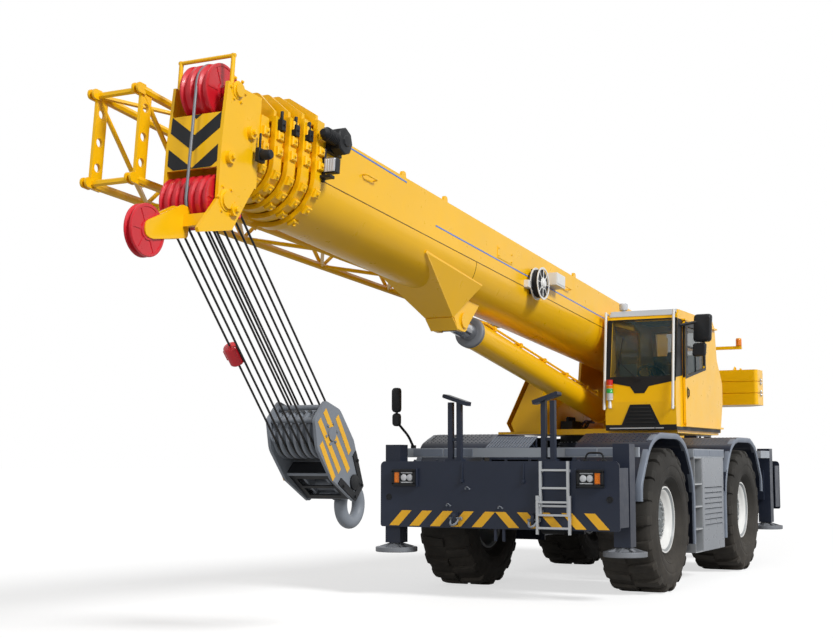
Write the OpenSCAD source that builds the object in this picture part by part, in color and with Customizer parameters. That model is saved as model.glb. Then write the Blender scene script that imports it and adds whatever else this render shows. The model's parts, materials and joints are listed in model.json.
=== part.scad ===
// Two-axle rough terrain crane with a five-section telescopic boom.
// Millimetres. +X is forward, +Y is the cab side, +Z is up.
// The origin lies on the ground, below the slewing axis.

/* [Running gear] */
// distance between the two axles
wheel_base = 4080; // [3800:10:4400]
// distance of the axles' middle ahead of the slewing axis
axle_shift = 300; // [250:10:310]
// distance between the tyre centres of one axle
track = 2500; // [2440:10:2540]
// tyre diameter over the lugs
tyre_d = 1870; // [1800:10:1900]
// tyre width over the side walls
tyre_w = 770; // [690:10:790]
// how far the tread lugs stand out of the tyre
lug_h = 42; // [30:1:50]
// width of a tread lug
lug_w = 110; // [90:5:115]
// number of tread lugs on each side of a tyre
lug_n = 18; // [14:2:22]
// outside diameter of the rim flange
rim_d = 860; // [820:10:900]
// width between the outer faces of the rim flanges
rim_w = 566; // [520:2:600]
// diameter of the spindle that the wheel turns on
spindle_d = 170; // [140:2:190]
// diameter of the kingpin
kingpin_d = 90; // [70:2:110]
// distance of the kingpin inside the tyre's centre
kingpin_in = 350; // [330:5:370]
// diameter of the axle tube
axle_d = 300; // [240:10:320]

/* [Carrier] */
// width of the main frame
frame_w = 800; // [700:10:820]
// height of the frame's underside above the axles
frame_up = 245; // [240:5:285]
// depth of the main frame
frame_h = 560; // [480:10:600]
// plate thickness of the main frame
frame_t = 30; // [12:1:40]
// height of the deck's edge band
deck_h = 120; // [80:5:140]
// width of the deck and bumpers
carrier_w = 3180; // [3100:2:3240]
// height of the fender tops above the tyres
arch_gap = 180; // [160:5:200]
// half length of a fender
arch_l = 1210; // [1190:5:1230]
// plate thickness of the fenders
arch_t = 30; // [10:1:40]
// distance of the fenders' inner edges from the middle of the machine
arch_in = 620; // [600:5:640]
// depth of the side boxes
side_d = 540; // [500:5:560]
// length of the side steps along the machine
step_l = 390; // [360:5:420]
// depth of the side steps
step_d = 300; // [260:5:320]
// plate thickness of the bumpers
bumper_t = 15; // [10:1:25]
// height of the bumper's lower edge
bumper_z = 868; // [820:2:900]
// distance of the bumper's upper edge below the deck's underside
bumper_drop = 50; // [30:5:80]

/* [Outriggers] */
// distance of the outrigger boxes' inner ends from the slewing axis
box_in = 3610; // [3600:5:3640]
// length of an outrigger box
box_l = 720; // [700:5:725]
// height of the outrigger boxes' underside
box_z = 1010; // [980:5:1040]
// depth of an outrigger box
box_h = 560; // [520:10:600]
// plate thickness of an outrigger box
box_t = 20; // [12:1:24]
// sliding clearance around an outrigger beam
beam_gap = 10; // [6:1:14]
// distance of the jacks inside the carrier's sides
jack_in = 125; // [115:5:140]
// width of a jack housing
jack_w = 210; // [200:5:230]
// diameter of a jack rod
jack_d = 160; // [120:5:170]
// diameter of a float
float_d = 520; // [440:10:560]
// height of a float above the ground at rest
float_z = 545; // [500:5:600]

/* [Superstructure] */
// height of the slewing ring's top face above the fenders
ring_up = 20; // [16:1:30]
// height of the slewing ring
ring_h = 110; // [90:5:120]
// outside diameter of the slewing ring
ring_d = 1500; // [1400:10:1540]
// thickness of the turntable's base plate
base_t = 80; // [50:5:90]
// height of the platforms' upper face above the slewing ring
platform_z = 40; // [30:2:50]
// distance between the outer faces of the turntable's side plates
tower_w = 960; // [940:5:970]
// thickness of the turntable's side plates
tower_t = 40; // [25:1:45]
// position of the boom pivot along the machine
pivot_x = -1300; // [-1350:10:-1280]
// height of the boom pivot above the slewing ring
pivot_z = 920; // [890:5:940]
// diameter of the boom pivot pin
pivot_d = 160; // [130:5:180]
// height of the counterweight's underside above the slewing ring
weight_z = 560; // [530:5:590]
// height of one of the counterweight's three slabs
slab_h = 197; // [160:1:210]
// width of the counterweight
weight_w = 3040; // [2900:10:3080]

/* [Cab] */
// right face of the cab
cab_y0 = 500; // [490:5:520]
// left face of the cab
cab_y1 = 1510; // [1480:5:1520]
// wall thickness of the cab
cab_t = 45; // [30:1:60]
// glass thickness
glass_t = 8; // [5:1:12]
// thickness of the sliding door
door_t = 36; // [28:1:44]

/* [Boom] */
// boom angle above level at rest
boom_angle = 5; // [3:0.5:6]
// width of the base section
boom_w = 820; // [780:5:830]
// depth of the base section
boom_h = 900; // [860:5:910]
// plate thickness of the sections
boom_t = 10; // [8:1:12]
// clearance between two nested sections
nest_gap = 28; // [25:1:32]
// height of the boom's centre line above the pivot
boom_rise = 374; // [360:2:390]
// distance from the pivot to the front of the base section
base_front = 10740; // [10600:10:10800]
// distance between the front ends of two following sections
collar_pitch = 170; // [160:2:180]
// length of a section's front collar
collar_l = 120; // [90:5:130]
// how far a collar stands out of its section
collar_t = 36; // [25:1:40]

/* [Lifting] */
// position of the lift cylinder's foot along the machine
foot_x = -400; // [-450:10:-350]
// height of the lift cylinder's foot above the slewing ring
foot_z = 220; // [210:2:240]
// distance of the rod eye from the boom pivot along the boom
eye_u = 6900; // [6850:10:6950]
// drop of the rod eye below the boom's underside
eye_drop = 215; // [205:5:230]
// outside diameter of the lift cylinder's barrel
barrel_d = 340; // [320:5:350]
// diameter of the lift cylinder's rod
rod_d = 220; // [190:5:230]
// diameter of the lift cylinder's pins
lift_pin_d = 120; // [100:5:130]
// diameter of the head's lower sheaves
sheave_d = 450; // [420:10:480]
// diameter of the hook block's sheaves
block_d = 460; // [420:10:480]
// number of lower sheaves side by side
sheave_n = 6; // [4:1:7]
// angle of the hoist falls below level at rest
fall_angle = 47; // [44:1:50]
// length of the hoist falls
fall_l = 2600; // [2400:20:2700]
// diameter of the hoist rope
rope_d = 20; // [16:1:24]

/* [Clearances] */
// radial running clearance of a pin in its bore
pin_gap = 0.3; // [0.1:0.05:0.5]

/* [Hidden] */
$fn = 64;
front_x = axle_shift + wheel_base / 2;
rear_x = axle_shift - wheel_base / 2;
axle_z = tyre_d / 2;
frame_z = axle_z + frame_up;
arch_z = tyre_d + arch_gap;
slew_z = arch_z + ring_up;
wheel_y = track / 2;
kingpin_y = wheel_y - kingpin_in;
seat_r = rim_d / 2 - 15;
frame_top = frame_z + frame_h;
bumper_top = frame_top - bumper_drop;
side_y = carrier_w / 2 - 5;
side_in = side_y - side_d;
deck_z = frame_top + deck_h;
deck_x = box_in - 10;
gap_x0 = rear_x + arch_l;
gap_x1 = front_x - arch_l;
bumper_x = box_in + box_l + bumper_t;
cell_w = (box_l - 3 * box_t) / 2;
beam_w = cell_w - 2 * beam_gap;
beam_h = box_h - 2 * box_t - 2 * beam_gap;
beam_z = box_z + box_h / 2;
beam_near = box_in + box_t + cell_w / 2;
beam_far = box_in + box_l - box_t - cell_w / 2;
jack_y = carrier_w / 2 - jack_in;
box_y = jack_y - jack_w / 2 - 5;
tower_y = tower_w / 2;
boom_low = boom_rise - boom_h / 2;
eye_w = boom_low - eye_drop;
eye_x = pivot_x + eye_u * cos(boom_angle) - eye_w * sin(boom_angle);
eye_z = pivot_z + eye_u * sin(boom_angle) + eye_w * cos(boom_angle);
lift_angle = atan2(eye_z - foot_z, eye_x - foot_x);
lift_l = norm([eye_x - foot_x, eye_z - foot_z]);
nest_step = 2 * (boom_t + nest_gap);
head_u = base_front + 4 * collar_pitch;
sheave_u = head_u + 425;
sheave_c = -551;
sheave_w = 2 * 234 / sheave_n;
sheave_x = pivot_x + sheave_u * cos(boom_angle) - (boom_rise + sheave_c) * sin(boom_angle);
sheave_z = pivot_z + sheave_u * sin(boom_angle) + (boom_rise + sheave_c) * cos(boom_angle);
cab_z0 = platform_z;
door_window = [[300, 960, 50], [1220, 800, 50], [1190, 1490, 60], [300, 1490, 50]];
cab_side = [[-700, cab_z0], [1640, cab_z0], [1660, 430], [1640, 760], [1500, 1630],
    [1420, 1710], [-350, 1700], [-460, 1610], [-560, 1130], [-840, 790], [-840, 490], [-740, 180]];

// points of a polygon whose corners [x, y, r] are rounded to radius r
function unit(v) = v / norm(v);
function corner(a, b, c, n) =
    let(p = [b[0], b[1]], u = unit([a[0], a[1]] - p), v = unit([c[0], c[1]] - p),
        h = acos(u * v) / 2, m = p + unit(u + v) * b[2] / sin(h),
        s = p + u * b[2] / tan(h) - m, e = p + v * b[2] / tan(h) - m,
        a0 = atan2(s[1], s[0]), d = atan2(e[1], e[0]) - a0,
        t = d > 180 ? d - 360 : (d < -180 ? d + 360 : d))
    [for (i = [0:n]) m + b[2] * [cos(a0 + t * i / n), sin(a0 + t * i / n)]];
function rounded(q, n = 4) =
    [for (i = [0:len(q) - 1]) each (q[i][2] == undef || q[i][2] == 0) ? [[q[i][0], q[i][1]]]
        : corner(q[(i + len(q) - 1) % len(q)], q[i], q[(i + 1) % len(q)], n)];
// a polygon drawn anticlockwise, moved inwards by d
function inward(a, b) = let(e = unit(b - a)) [-e[1], e[0]];
function inset(q, d) =
    [for (i = [0:len(q) - 1])
        let(n1 = inward(q[(i + len(q) - 1) % len(q)], q[i]), n2 = inward(q[i], q[(i + 1) % len(q)]))
        q[i] + d * (n1 + n2) / (1 + n1 * n2)];

// outlines drawn in the X-Z, Y-Z and X-Y planes, carried from one face to the other
module along_y(y0, y1) {
    translate([0, y1, 0]) rotate([90, 0, 0]) linear_extrude(y1 - y0) children();
}
module along_x(x0, x1) {
    translate([x0, 0, 0]) rotate([90, 0, 90]) linear_extrude(x1 - x0) children();
}
module along_z(z0, z1) {
    translate([0, 0, z0]) linear_extrude(z1 - z0) children();
}
module block(x0, x1, y0, y1, z0, z1) {
    translate([x0, y0, z0]) cube([x1 - x0, y1 - y0, z1 - z0]);
}
// a round bar across the machine
module bar_y(x, z, d, y0, y1) {
    translate([x, y0, z]) rotate([-90, 0, 0]) cylinder(d = d, h = y1 - y0);
}
// a thin straight bar between two points
module strut(p, q, d, sides = 8) {
    v = q - p;
    translate(p) rotate([0, acos(v[2] / norm(v)), atan2(v[1], v[0])])
        cylinder(d = d, h = norm(v), $fn = sides);
}
module both_sides() {
    children();
    mirror([0, 1, 0]) children();
}
// places a left front wheel's piece at another corner
module at_wheel(front, left) {
    translate([front > 0 ? front_x : rear_x, 0, axle_z]) mirror([0, left > 0 ? 0 : 1, 0]) children();
}
// puts a superstructure piece on the slewing ring
module on_ring() {
    translate([0, 0, slew_z]) children();
}
module on_boom() {
    on_ring() translate([pivot_x, 0, pivot_z]) rotate([0, -boom_angle, 0]) children();
}
module on_lift() {
    on_ring() translate([foot_x, 0, foot_z]) rotate([0, -lift_angle, 0]) children();
}
module on_falls() {
    on_ring() translate([sheave_x, 0, sheave_z]) rotate([0, 180 - fall_angle, 0]) children();
}

// Carrier
module chassis() {
    color("#3f4a52") {
        difference() {
            block(-box_in, box_in, -frame_w / 2, frame_w / 2, frame_z, frame_top);
            block(-box_in - 10, box_in + 10, frame_t - frame_w / 2, frame_w / 2 - frame_t, frame_z + frame_t,
                frame_top - frame_t);
        }
        difference() {
            translate([0, 0, frame_top]) cylinder(d = ring_d + 60, h = slew_z - ring_h - frame_top);
            translate([0, 0, frame_top - 1]) cylinder(d = ring_d - 200, h = slew_z);
        }
        for (x = [axle_shift - 350, axle_shift + 350])
            both_sides() block(x - 60, x + 60, frame_w / 2, side_in, frame_top - 240, frame_top - 40);
    }
}

module slew_ring() {
    color("#5a5f63") difference() {
        translate([0, 0, slew_z - ring_h]) cylinder(d = ring_d, h = ring_h);
        translate([0, 0, slew_z - ring_h - 10]) cylinder(d = ring_d - 240, h = ring_h + 20);
    }
}

module outrigger_box(side) {
    x0 = box_in;
    x1 = box_in + box_l;
    mirror([side > 0 ? 0 : 1, 0, 0]) {
        difference() {
            block(x0, x1, -box_y + 5, box_y - 5, box_z, box_z + box_h);
            for (x = [beam_near, beam_far])
                block(x - cell_w / 2, x + cell_w / 2, -box_y, box_y, box_z + box_t, box_z + box_h - box_t);
        }
        for (x = [beam_near, beam_far])
            both_sides() block(x - 100, x + 100, box_y - 105, box_y - 5, box_z + box_t - 2,
                box_z + box_t + beam_gap - pin_gap);
    }
}
module outrigger_box_front() {
    color("#3f4a52") outrigger_box(1);
}
module outrigger_box_rear() {
    color("#3f4a52") outrigger_box(-1);
}

module bumper(side) {
    w = carrier_w / 2;
    x0 = box_in + box_l;
    z = bumper_z + 120;
    mirror([side > 0 ? 0 : 1, 0, 0]) {
        along_x(x0, bumper_x) polygon(rounded([[-w, bumper_z, 30], [w, bumper_z, 30], [w, bumper_top, 60],
            [-w, bumper_top, 60]]));
        block(box_in, x0, -box_y + 5, box_y - 5, bumper_top - 12, bumper_top);
        for (y = [-900, -300, 300, 900])
            block(box_in, x0, y - 6, y + 6, box_z + box_h, bumper_top - 12);
        // side return behind the left end, clear of the inner beam's jack
        block(x0 - 330, x0 + 5, w - 16, w - 4, bumper_z + 40, bumper_top - 80);
        // tow lugs
        for (y = [-520, 520]) difference() {
            along_y(y - 20, y + 20) polygon(rounded([[bumper_x, z - 80], [bumper_x + 90, z - 60, 45],
                [bumper_x + 90, z + 60, 45], [bumper_x, z + 80]]));
            bar_y(bumper_x + 45, z, 64, y - 30, y + 30);
        }
        // hanging brackets under the lower edge
        for (y = [-20, 90])
            along_y(y, y + 30) polygon(rounded([[x0 - 24, bumper_z + 45], [x0 - 24, bumper_z - 150, 12],
                [x0 + 9, bumper_z - 150, 12], [x0 + 9, bumper_z + 45]]));
    }
}
module bumpers() {
    color("#3f4a52") {
        bumper(1);
        bumper(-1);
    }
}

module deck_plan(d) {
    w = carrier_w / 2 - d;
    e = deck_x - d;
    translate([-e, d - arch_in]) square([2 * e, 2 * (arch_in - d)]);
    translate([gap_x0 + d, -w]) square([gap_x1 - gap_x0 - 2 * d, 2 * w]);
    translate([front_x + arch_l + d, -w]) square([e - front_x - arch_l - d, 2 * w]);
    translate([-e, -w]) square([e + rear_x - arch_l - d, 2 * w]);
}
module deck() {
    color("#9aa3a8") difference() {
        along_z(frame_top, deck_z) deck_plan(0);
        along_z(frame_top - 1, deck_z - 10) deck_plan(10);
        translate([0, 0, frame_top - 5]) cylinder(d = ring_d + 160, h = deck_h + 10);
    }
}

// side view of a fender, moved inwards by d
module fender_outline(d) {
    polygon(rounded([[d - arch_l, 560 - 2 * d], [arch_l - d, 560 - 2 * d], [arch_l - d, arch_z - 650, 260],
        [820 - 0.6 * d, arch_z - 130 - 0.8 * d, 200], [450, arch_z - d, 160], [-450, arch_z - d, 160],
        [0.6 * d - 820, arch_z - 130 - 0.8 * d, 200], [d - arch_l, arch_z - 650, 260]]));
}
module fender() {
    y1 = carrier_w / 2 + 10;
    difference() {
        along_y(arch_in, y1) fender_outline(0);
        along_y(arch_in - 10, y1 + 10) fender_outline(arch_t);
        block(0, arch_l + 10, arch_in - 10, y1 + 10, 0, 1200);
    }
    // lip along the outer edge
    difference() {
        along_y(y1 - 12, y1) fender_outline(0);
        along_y(y1 - 20, y1 + 10) fender_outline(arch_t + 35);
        block(0, arch_l + 10, arch_in - 10, y1 + 10, 0, 1200);
    }
}
module fenders() {
    color("#4a565e") both_sides() {
        translate([front_x, 0, 0]) fender();
        translate([rear_x, 0, 0]) mirror([1, 0, 0]) fender();
    }
}

// a hollow box beside the frame, with n louvre slots in its face
module side_box(x0, x1, z0, n) {
    difference() {
        block(x0, x1, side_in, side_y, z0, frame_top);
        block(x0 + 10, x1 - 10, side_in + 10, side_y - 10, z0 - 10, frame_top - 10);
        for (i = [0:n - 1])
            block(x0 + 110, x1 - 110, side_y - 30, side_y + 10, z0 + 340 + i * 75, z0 + 366 + i * 75);
    }
}
module side_boxes() {
    color("#3f4a52") {
        side_box(gap_x0 + 40, gap_x1 - step_l - 60, 430, 8);
        mirror([0, 1, 0]) side_box(gap_x0 + 40, gap_x1 - 40, 560, 6);
    }
}

module ladder(w, h, n) {
    for (s = [0, 1])
        translate([0, s * (w - 30), 0]) cube([30, 30, h]);
    for (i = [0:n - 1])
        translate([0, 30, (i + 0.5) * h / n - 12]) cube([30, w - 60, 24]);
}
module ladders() {
    z = bumper_z - 48;
    x = gap_x1 - 40;
    color("#b9bfc2") {
        // upper front ladder, with its lower part folded down in front of it
        translate([bumper_x + 30, 600, z + 230]) ladder(380, bumper_top - z - 230, 3);
        translate([bumper_x + 66, 570, z]) ladder(440, 460, 3);
        for (y = [582, 958])
            block(bumper_x + 40, bumper_x + 80, y, y + 40, z + 330, z + 360);
        for (h = [260, 740])
            for (y = [600, 950])
                block(bumper_x, bumper_x + 30, y, y + 30, z + h, z + h + 30);
        difference() {
            block(x - step_l, x, side_y - step_d, side_y, 430, frame_top);
            block(x - step_l + 12, x - 12, side_y - step_d - 50, side_y + 10, 442, frame_top - 12);
        }
        for (h = [740, 1050, 1360])
            block(x - step_l + 12, x - 12, side_y - step_d, side_y, h, h + 20);
    }
}

module boom_rest() {
    x = bumper_x - 200;
    z = bumper_top;
    color("#3f4a52") both_sides() {
        block(x - 70, x + 70, 520, 740, z, z + 25);
        for (y = [540, 660])
            block(x - 35, x + 35, y, y + 60, z + 25, z + 740);
        block(x - 20, x + 20, 600, 660, z + 250, z + 290);
        along_x(x - 75, x + 75) polygon(rounded([[450, z + 690], [780, z + 800, 20], [770, z + 850, 20],
            [440, z + 740]]));
    }
}

module engine_block() {
    color("#2c2f31") block(-3450, -2550, -300, 300, frame_z + frame_t, frame_top - frame_t - 40);
}
module engine_hood() {
    h = slew_z + 180;
    color("#3f4a52") difference() {
        along_x(-3590, -2660) polygon(rounded([[-600, deck_z], [600, deck_z], [600, h, 80], [-600, h, 80]]));
        along_x(-3580, -2670) polygon(rounded([[-590, deck_z - 1], [590, deck_z - 1], [590, h - 10, 70],
            [-590, h - 10, 70]]));
        // louvres in the sides and the radiator grille at the rear
        for (i = [0:4])
            block(-3500, -2750, -610, 610, deck_z + 70 + i * 50, deck_z + 90 + i * 50);
        for (i = [-5:5])
            block(-3600, -3570, i * 90 - 25, i * 90 + 25, deck_z + 60, h - 100);
    }
}

module lamps() {
    y = carrier_w / 2 - 350;
    z = bumper_top - 290;
    color("#d8d8d0") for (s = [0, 1])
        mirror([s, 0, 0]) both_sides() block(bumper_x, bumper_x + 40, y - 150, y + 150, z, z + 170);
}
module carrier_mirror() {
    y = 75 - carrier_w / 2;
    x = deck_x + 430;
    z = deck_z;
    color("#222426") {
        block(deck_x - 45, deck_x - 5, y - 30, y + 30, z, z + 40);
        strut([deck_x - 25, y, z + 25], [x + 35, y, z + 480], 36, 12);
        block(x, x + 70, y - 60, y + 60, z + 460, z + 780);
        block(x, x + 60, y - 55, y + 55, z + 280, z + 450);
        strut([x + 25, y, z + 390], [x + 25, y, z + 540], 30, 12);
    }
}

module axle() {
    k = kingpin_y;
    color("#33383b") {
        bar_y(0, 0, axle_d, 170 - k, k - 170);
        // differential and its input
        bar_y(0, 0, 450, -150, 150);
        rotate([0, 90, 0]) cylinder(d = 220, h = 430, center = true);
        both_sides() {
            block(-130, 130, frame_w / 2 - 140, frame_w / 2, 60, frame_z - axle_z);
            block(-100, 100, k - 210, k - 100, -170, 170);
            // fork and kingpin
            for (z = [-170, 110]) {
                translate([0, k, z]) cylinder(r = 75, h = 60);
                block(-75, 75, k - 100, k, z, z + 60);
            }
            translate([0, k, -180]) cylinder(d = kingpin_d, h = 360);
        }
    }
}
module axle_front() {
    translate([front_x, 0, axle_z]) axle();
}
module axle_rear() {
    translate([rear_x, 0, axle_z]) mirror([1, 0, 0]) axle();
}

module knuckle() {
    color("#3a3f42") difference() {
        union() {
            translate([0, kingpin_y, -105]) cylinder(d = 180, h = 210);
            bar_y(0, 0, spindle_d, kingpin_y, wheel_y + 80);
            bar_y(0, 0, 360, kingpin_y + 87, kingpin_y + 140);
        }
        translate([0, kingpin_y, -200]) cylinder(d = kingpin_d + 2 * pin_gap, h = 400);
    }
}
module knuckle_fl() {
    at_wheel(1, 1) knuckle();
}
module knuckle_fr() {
    at_wheel(1, -1) knuckle();
}
module knuckle_rl() {
    at_wheel(-1, 1) knuckle();
}
module knuckle_rr() {
    at_wheel(-1, -1) knuckle();
}

module rim() {
    f = rim_w / 2;
    r = rim_d / 2;
    b = spindle_d / 2 + pin_gap;
    color("#e4e4e0") translate([0, wheel_y, 0]) rotate([-90, 0, 0]) rotate_extrude() polygon([[b, -70],
        [200, -70], [200, 10], [seat_r - 30, 30], [seat_r - 30, -f + 20], [r - 20, -f], [r, -f], [r, 16 - f],
        [seat_r, 16 - f], [seat_r, f - 16], [r, f - 16], [r, f], [r - 20, f], [seat_r - 30, f - 30],
        [seat_r - 30, 65], [215, 50], [200, 170], [150, 190], [0, 190], [0, 100], [b, 100]]);
}
// one tread lug, from the middle of the tread to the shoulder
module lug() {
    h = lug_w / 2;
    e = tyre_w / 2 - 55;
    along_x(tyre_d / 2 - lug_h - 60, tyre_d / 2)
        polygon([[20 - h, 8], [20 + h, 8], [h - 20, e], [-h - 20, e]]);
}
module tyre() {
    f = rim_w / 2 - 17;
    r = tyre_d / 2 - lug_h;
    w = tyre_w / 2;
    s = seat_r + pin_gap;
    a = s + (r - s) * 0.3;
    b = s + (r - s) * 0.62;
    color("#2b2927") translate([0, wheel_y, 0]) rotate([-90, 0, 0]) {
        rotate_extrude($fn = 28) polygon([[s, -f], [s + 60, -f], [a, 20 - w], [b, -w], [r - 30, 40 - w],
            [r, 90 - w], [r, w - 90], [r - 30, w - 40], [b, w], [a, w - 20], [s + 60, f], [s, f], [s, f - 60],
            [b + 60, w - 90], [b + 60, 90 - w], [s, 60 - f]]);
        for (i = [0:lug_n - 1])
            for (m = [0, 1])
                mirror([0, 0, m]) rotate((i + m / 2) * 360 / lug_n) lug();
    }
}
module rim_fl() {
    at_wheel(1, 1) rim();
}
module rim_fr() {
    at_wheel(1, -1) rim();
}
module rim_rl() {
    at_wheel(-1, 1) rim();
}
module rim_rr() {
    at_wheel(-1, -1) rim();
}
module tyre_fl() {
    at_wheel(1, 1) tyre();
}
module tyre_fr() {
    at_wheel(1, -1) tyre();
}
module tyre_rl() {
    at_wheel(-1, 1) tyre();
}
module tyre_rr() {
    at_wheel(-1, -1) tyre();
}

// Outriggers
module beam(x) {
    color("#3f4a52") difference() {
        union() {
            block(x - beam_w / 2, x + beam_w / 2, -box_y + 20, jack_y, beam_z - beam_h / 2,
                beam_z + beam_h / 2);
            block(x - jack_w / 2, x + jack_w / 2, jack_y - jack_w / 2, jack_y + jack_w / 2,
                float_z + 115, box_z + box_h + 330);
        }
        block(x - beam_w / 2 + 16, x + beam_w / 2 - 16, -box_y, jack_y - jack_w / 2 - 16,
            beam_z - beam_h / 2 + 16, beam_z + beam_h / 2 - 16);
        translate([x, jack_y, float_z]) cylinder(d = jack_d + 2 * pin_gap, h = box_z + box_h + 290 - float_z);
    }
}
module jack(x) {
    color("#8b9296") {
        translate([x, jack_y, float_z + 50]) cylinder(d = jack_d, h = box_z + box_h + 210 - float_z);
        translate([x, jack_y, float_z]) cylinder(d1 = float_d, d2 = float_d - 30, h = 60);
        translate([x, jack_y, float_z + 60]) cylinder(d1 = 300, d2 = jack_d + 20, h = 50);
    }
}
module outrigger_beam_fl() {
    beam(beam_near);
}
module outrigger_beam_fr() {
    mirror([0, 1, 0]) beam(beam_far);
}
module outrigger_beam_rl() {
    mirror([1, 0, 0]) beam(beam_near);
}
module outrigger_beam_rr() {
    mirror([1, 0, 0]) mirror([0, 1, 0]) beam(beam_far);
}
module jack_fl() {
    jack(beam_near);
}
module jack_fr() {
    mirror([0, 1, 0]) jack(beam_far);
}
module jack_rl() {
    mirror([1, 0, 0]) jack(beam_near);
}
module jack_rr() {
    mirror([1, 0, 0]) mirror([0, 1, 0]) jack(beam_far);
}

// Superstructure
module turntable() {
    z1 = base_t;
    color("#f2b21a") on_ring() {
        block(-2300, 1150, -tower_y, tower_y, 0, z1);
        difference() {
            cylinder(d = ring_d + 100, h = base_t);
            translate([0, 0, platform_z]) cylinder(d = ring_d + 200, h = base_t);
        }
        block(-680, 1500, tower_y - 10, 1480, 6, platform_z);
        block(-640, 1480, -1200, 10 - tower_y, 6, platform_z);
        difference() {
            both_sides() along_y(tower_y - tower_t, tower_y) polygon(rounded([[-2300, 0], [1150, 0],
                [1150, 370, 80], [520, 570, 100], [80, 770, 80], [0, 1160, 60], [-1480, 1160, 120],
                [-1820, 990, 120], [-3140, 990], [-3140, 570], [-2700, 350, 100]]));
            // lightening holes
            for (h = [[-1920, 520, 320], [-1000, 440, 260], [-300, 560, 260]])
                bar_y(h[0], h[1], h[2], -tower_y - 10, tower_y + 10);
        }
        // cross plates between the side plates
        block(-2330, -2300, -tower_y, tower_y, 0, 300);
        block(-3140, -3110, tower_t - tower_y, tower_y - tower_t, 600, 960);
        bar_y(pivot_x, pivot_z, pivot_d, -tower_y - 30, tower_y + 30);
        both_sides() bar_y(pivot_x, pivot_z, pivot_d + 120, tower_y, tower_y + 15);
        both_sides() along_y(130, 190) polygon(rounded([[foot_x - 170, z1 - 20], [foot_x + 170, z1 - 20],
            [foot_x + 100, foot_z + 110, 60], [foot_x - 100, foot_z + 110, 60]]));
        bar_y(foot_x, foot_z, lift_pin_d, -205, 205);
        // arm with a lamp behind the cab
        block(-1720, -1660, tower_y, tower_y + 50, 850, 1430);
        block(-1715, -1665, tower_y + 20, 1620, 1380, 1430);
        translate([-1690, 1575, 1430]) cylinder(d = 84, h = 120);
    }
}

module weight_plan(d) {
    w = weight_w / 2;
    polygon(inset(rounded([[-3140, -w, 60], [-3140, w, 60], [-3600, w, 200], [-4020, w - 320, 260],
        [-4020, 320 - w, 260], [-3600, -w, 200]], 6), d));
}
module counterweight() {
    color("#f2b21a") on_ring() difference() {
        along_z(weight_z, weight_z + 3 * slab_h) weight_plan(0);
        // seams between the slabs
        for (i = [1, 2])
            along_z(weight_z + i * slab_h - 6, weight_z + i * slab_h + 6) difference() {
                weight_plan(-20);
                weight_plan(18);
            }
    }
}

module drum(x, z, r) {
    bar_y(x, z, 2 * r, -360, 360);
    for (y = [-380, 360])
        bar_y(x, z, 2 * r + 130, y, y + 20);
    bar_y(x, z, 180, -tower_y + tower_t, tower_y - tower_t);
}
module winches() {
    color("#4d5357") on_ring() {
        drum(-2380, 630, 170);
        drum(-2830, 720, 150);
    }
}

module tank_shape(d) {
    z = platform_z - 2 * d;
    along_x(-640 + d, 1000 + (d > 0 ? 1 : 0))
        polygon(inset([[-490, z], [-490, 830], [-960, 830], [-1275, 180], [-1200, z]], d));
    along_x(999, 1500 - d)
        polygon(inset([[-490, z], [-490, 780], [-680, 780], [-985, 160], [-940, z]], d));
}
module oil_tank() {
    color("#f2b21a") on_ring() difference() {
        tank_shape(0);
        tank_shape(10);
    }
}

// window openings of the cab
module cab_openings() {
    block(900, 1900, cab_y0 + 75, cab_y1 - 75, 780, 1570);
    block(150, 1300, cab_y0 - 10, cab_y0 + cab_t + 10, 790, 1530);
    block(-900, -300, cab_y0 + 100, cab_y1 - 100, 1220, 1550);
    block(500, 1300, cab_y0 + 110, cab_y1 - 110, 1530, 1830);
}
module cab_body() {
    color("#f2b21a") on_ring() difference() {
        along_y(cab_y0, cab_y1) polygon(cab_side);
        along_y(cab_y0 + cab_t, cab_y1 - cab_t) polygon(inset(cab_side, cab_t));
        cab_openings();
        block(250, 1280, cab_y1 - cab_t - 10, cab_y1 + 10, 160, 1530);
    }
    // rails of the sliding door
    color("#f2b21a") on_ring() {
        block(-690, 1340, cab_y1 - 10, cab_y1 + 48, 94, 120 - pin_gap);
        block(-440, 1300, cab_y1 - 10, cab_y1 + 48, 1570 + pin_gap, 1592);
    }
}
module cab_glass() {
    color("#6f8794") on_ring() {
        intersection() {
            difference() {
                along_y(cab_y0 + 14, cab_y1 - 14) polygon(inset(cab_side, 14));
                along_y(cab_y0 + 14 + glass_t, cab_y1 - 14 - glass_t) polygon(inset(cab_side, 14 + glass_t));
            }
            cab_openings();
        }
    }
}
module cab_seat() {
    color("#2a2c2e") on_ring() {
        block(-100, 350, 780, 1230, cab_z0 + cab_t, 430);
        block(-130, 420, 760, 1250, 430, 570);
        along_y(780, 1230) polygon(rounded([[-130, 570], [20, 570], [-60, 1260, 30], [-180, 1260, 30]]));
    }
}
module cab_console() {
    color("#33373a") on_ring() {
        along_y(cab_y0 + 130, cab_y1 - 130) polygon(rounded([[1330, cab_z0 + cab_t], [1560, cab_z0 + cab_t],
            [1580, 630], [1420, 690, 30], [1280, 530, 30]]));
        strut([1370, 1005, 477], [1130, 1005, 830], 60, 12);
        translate([1130, 1005, 830]) rotate([0, -34, 0]) difference() {
            cylinder(d = 400, h = 30);
            translate([0, 0, -5]) cylinder(d = 340, h = 40);
        }
        translate([1130, 1005, 830]) rotate([0, -34, 0]) translate([-180, -20, -6]) cube([360, 40, 28]);
    }
}
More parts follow.
